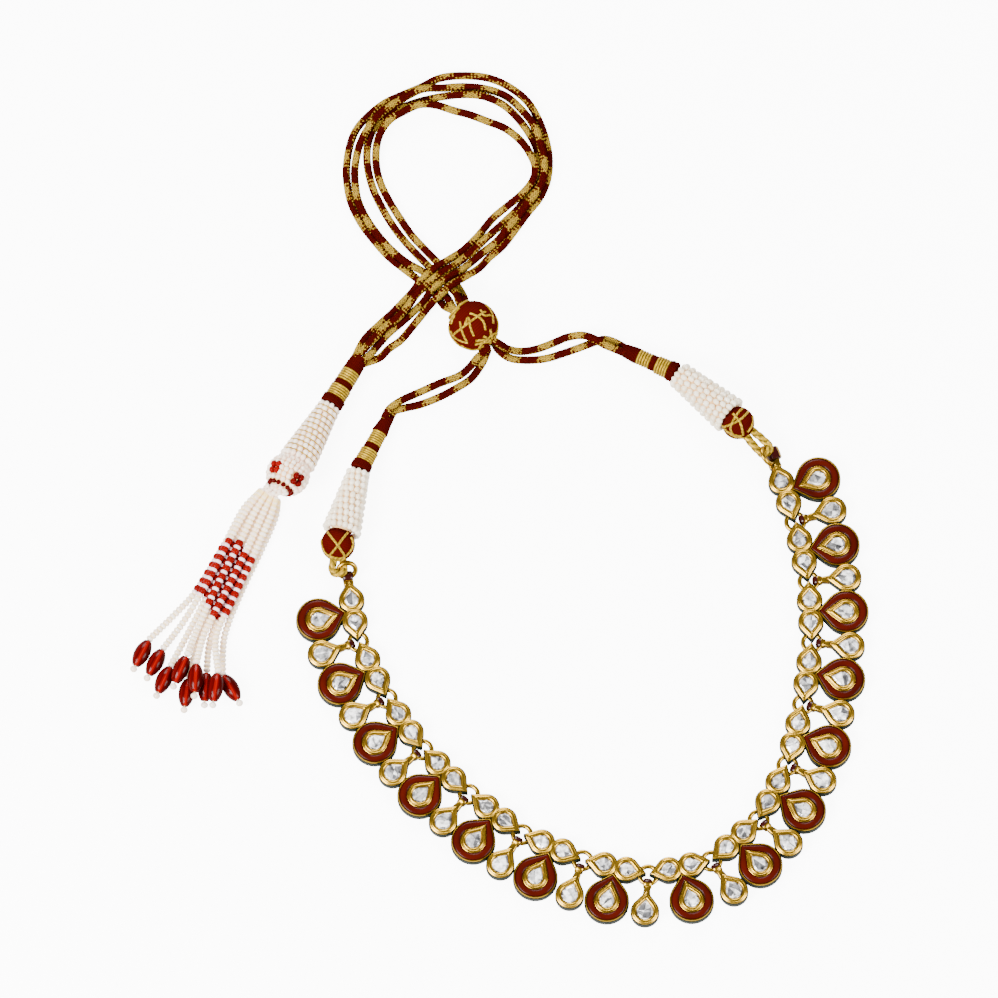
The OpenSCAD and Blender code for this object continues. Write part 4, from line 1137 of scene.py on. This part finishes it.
bm = new_bmesh()
for number, (route, (top, low)) in enumerate(zip(strand_routes, ovals)):
    end = (top + low) / 2 - 4.5 * (low - top).normalized()
    aside = 2.0 - 0.1 * number
    bowed = [Vector(p) - Vector((aside * bow, 0, 0)) for p, bow in zip(route, (0, 0.5, 1, 1, 0.45))]
    path = smooth_path([*bowed, end], STRING_PITCH)
    rolled_tube(bm, path, 0.68, 8, CORE)
    for k, p in enumerate(path):
        width = (1.3, 1.45, 1.65, 1.85)[k] if k < 4 else 2.0
        kind, tone = bead_kind(p, number), chance.random()
        red = kind == RED
        bead(bm, p, direction(path, k), width * (1.13 if red else 1), 2.1 if red else 1.3, kind,
             1 - 0.3 * tone if red else tone)
make_piece(bm, "tassel_strings", [pink_beads, red_beads, core_thread, lilac_beads],
           ["tassel_strands"], 80)

# %% Oval beads, end beads and threads
bm, ends, lines = new_bmesh(), new_bmesh(), new_bmesh()
for top, low in ovals:
    mid = (top + low) / 2
    along = (low - top).normalized()
    place = turned(mid, mid + along)
    profile = [(0.25, -3.7)] + [(math.sqrt(6.3 ** 2 - (3.6 * k / 9) ** 2) - 4.2, 3.65 * k / 9)
                                for k in range(-9, 10)] + [(0.25, 3.7)]
    faces = turn_profile(bm, place, profile, around=32)
    across = along.cross(view_back).normalized()

    def painted_light_streaks(f):
        """Painted light: a bright streak along the middle as the camera sees it, and a weaker one
        beside it.
        """
        off = (f.calc_center_median() - mid).dot(across)
        return math.exp(-(off / 0.42) ** 2) + 0.25 * math.exp(-((off - 1.3) / 0.35) ** 2)
    mark(bm, faces, "tone", painted_light_streaks)
    bead(ends, mid + along * 4.75, along, 1.9, 1.7, 0, chance.random(), around=12, down=8)
    rolled_tube(lines, [mid - along * 4.2, mid, mid + along * 5.6], 0.2, 8)
make_piece(bm, "oval_beads", [oval_glass], ["tassel_ovals"], 60)
make_piece(ends, "end_beads", [pink_beads], ["tassel_end_beads"], 60)
make_piece(lines, "bead_threads", [core_thread], ["tassel_threads"], 60)

# %% [markdown]
# ## Table and light
#
# The photograph is on pure white. The table glows for the camera alone, which turns
# it white and hides most of its shadow, and for everything else it is a plain pale
# surface. Three broad lamps stand round the table at mid height. The sky above is
# dimmer, so flat enamel and metal reflect a calm tone and keep their deep colour.

# %% Table
bm = bmesh.new()
bmesh.ops.create_grid(bm, x_segments=2, y_segments=2, size=1.6)
mesh = to_mesh(bm, "table")
table_white = bpy.data.materials.new("table white")
table_white.use_nodes = True
n, link = table_white.node_tree.nodes, table_white.node_tree.links.new
shader, ray = n["Principled BSDF"], n.new("ShaderNodeLightPath")
shader.inputs["Base Color"].default_value = (0.75, 0.75, 0.75, 1)
shader.inputs["Roughness"].default_value = 0.9
glow = math_node(n, "MULTIPLY", 9)
link(ray.outputs["Is Camera Ray"], glow.inputs[0])
shader.inputs["Emission Color"].default_value = (1, 1, 1, 1)
link(glow.outputs[0], shader.inputs["Emission Strength"])
mesh.materials.append(table_white)
table = add_object("table", mesh)

# %% Lamps and sky
def lamp(name, size, power, place):
    data = bpy.data.lights.new(name, "AREA")
    data.shape, data.size, data.energy = "DISK", size, power
    obj = add_object(name, data)
    obj.location = place
    obj.rotation_euler = (aim - Vector(place)).to_track_quat("-Z", "Y").to_euler()

lamp("front left", 0.55, 35, (-0.65, -0.45, 0.75))
lamp("front right", 0.5, 15, (0.75, -0.35, 0.6))
lamp("back", 0.6, 18, (-0.1, 0.95, 0.6))
world = bpy.data.worlds.new("studio")
bpy.context.scene.world = world
world.use_nodes = True
sky = world.node_tree.nodes["Background"]
sky.inputs["Color"].default_value = (1.0, 0.93, 0.84, 1)
sky.inputs["Strength"].default_value = 0.25
print("lamps:", len(bpy.data.lights))
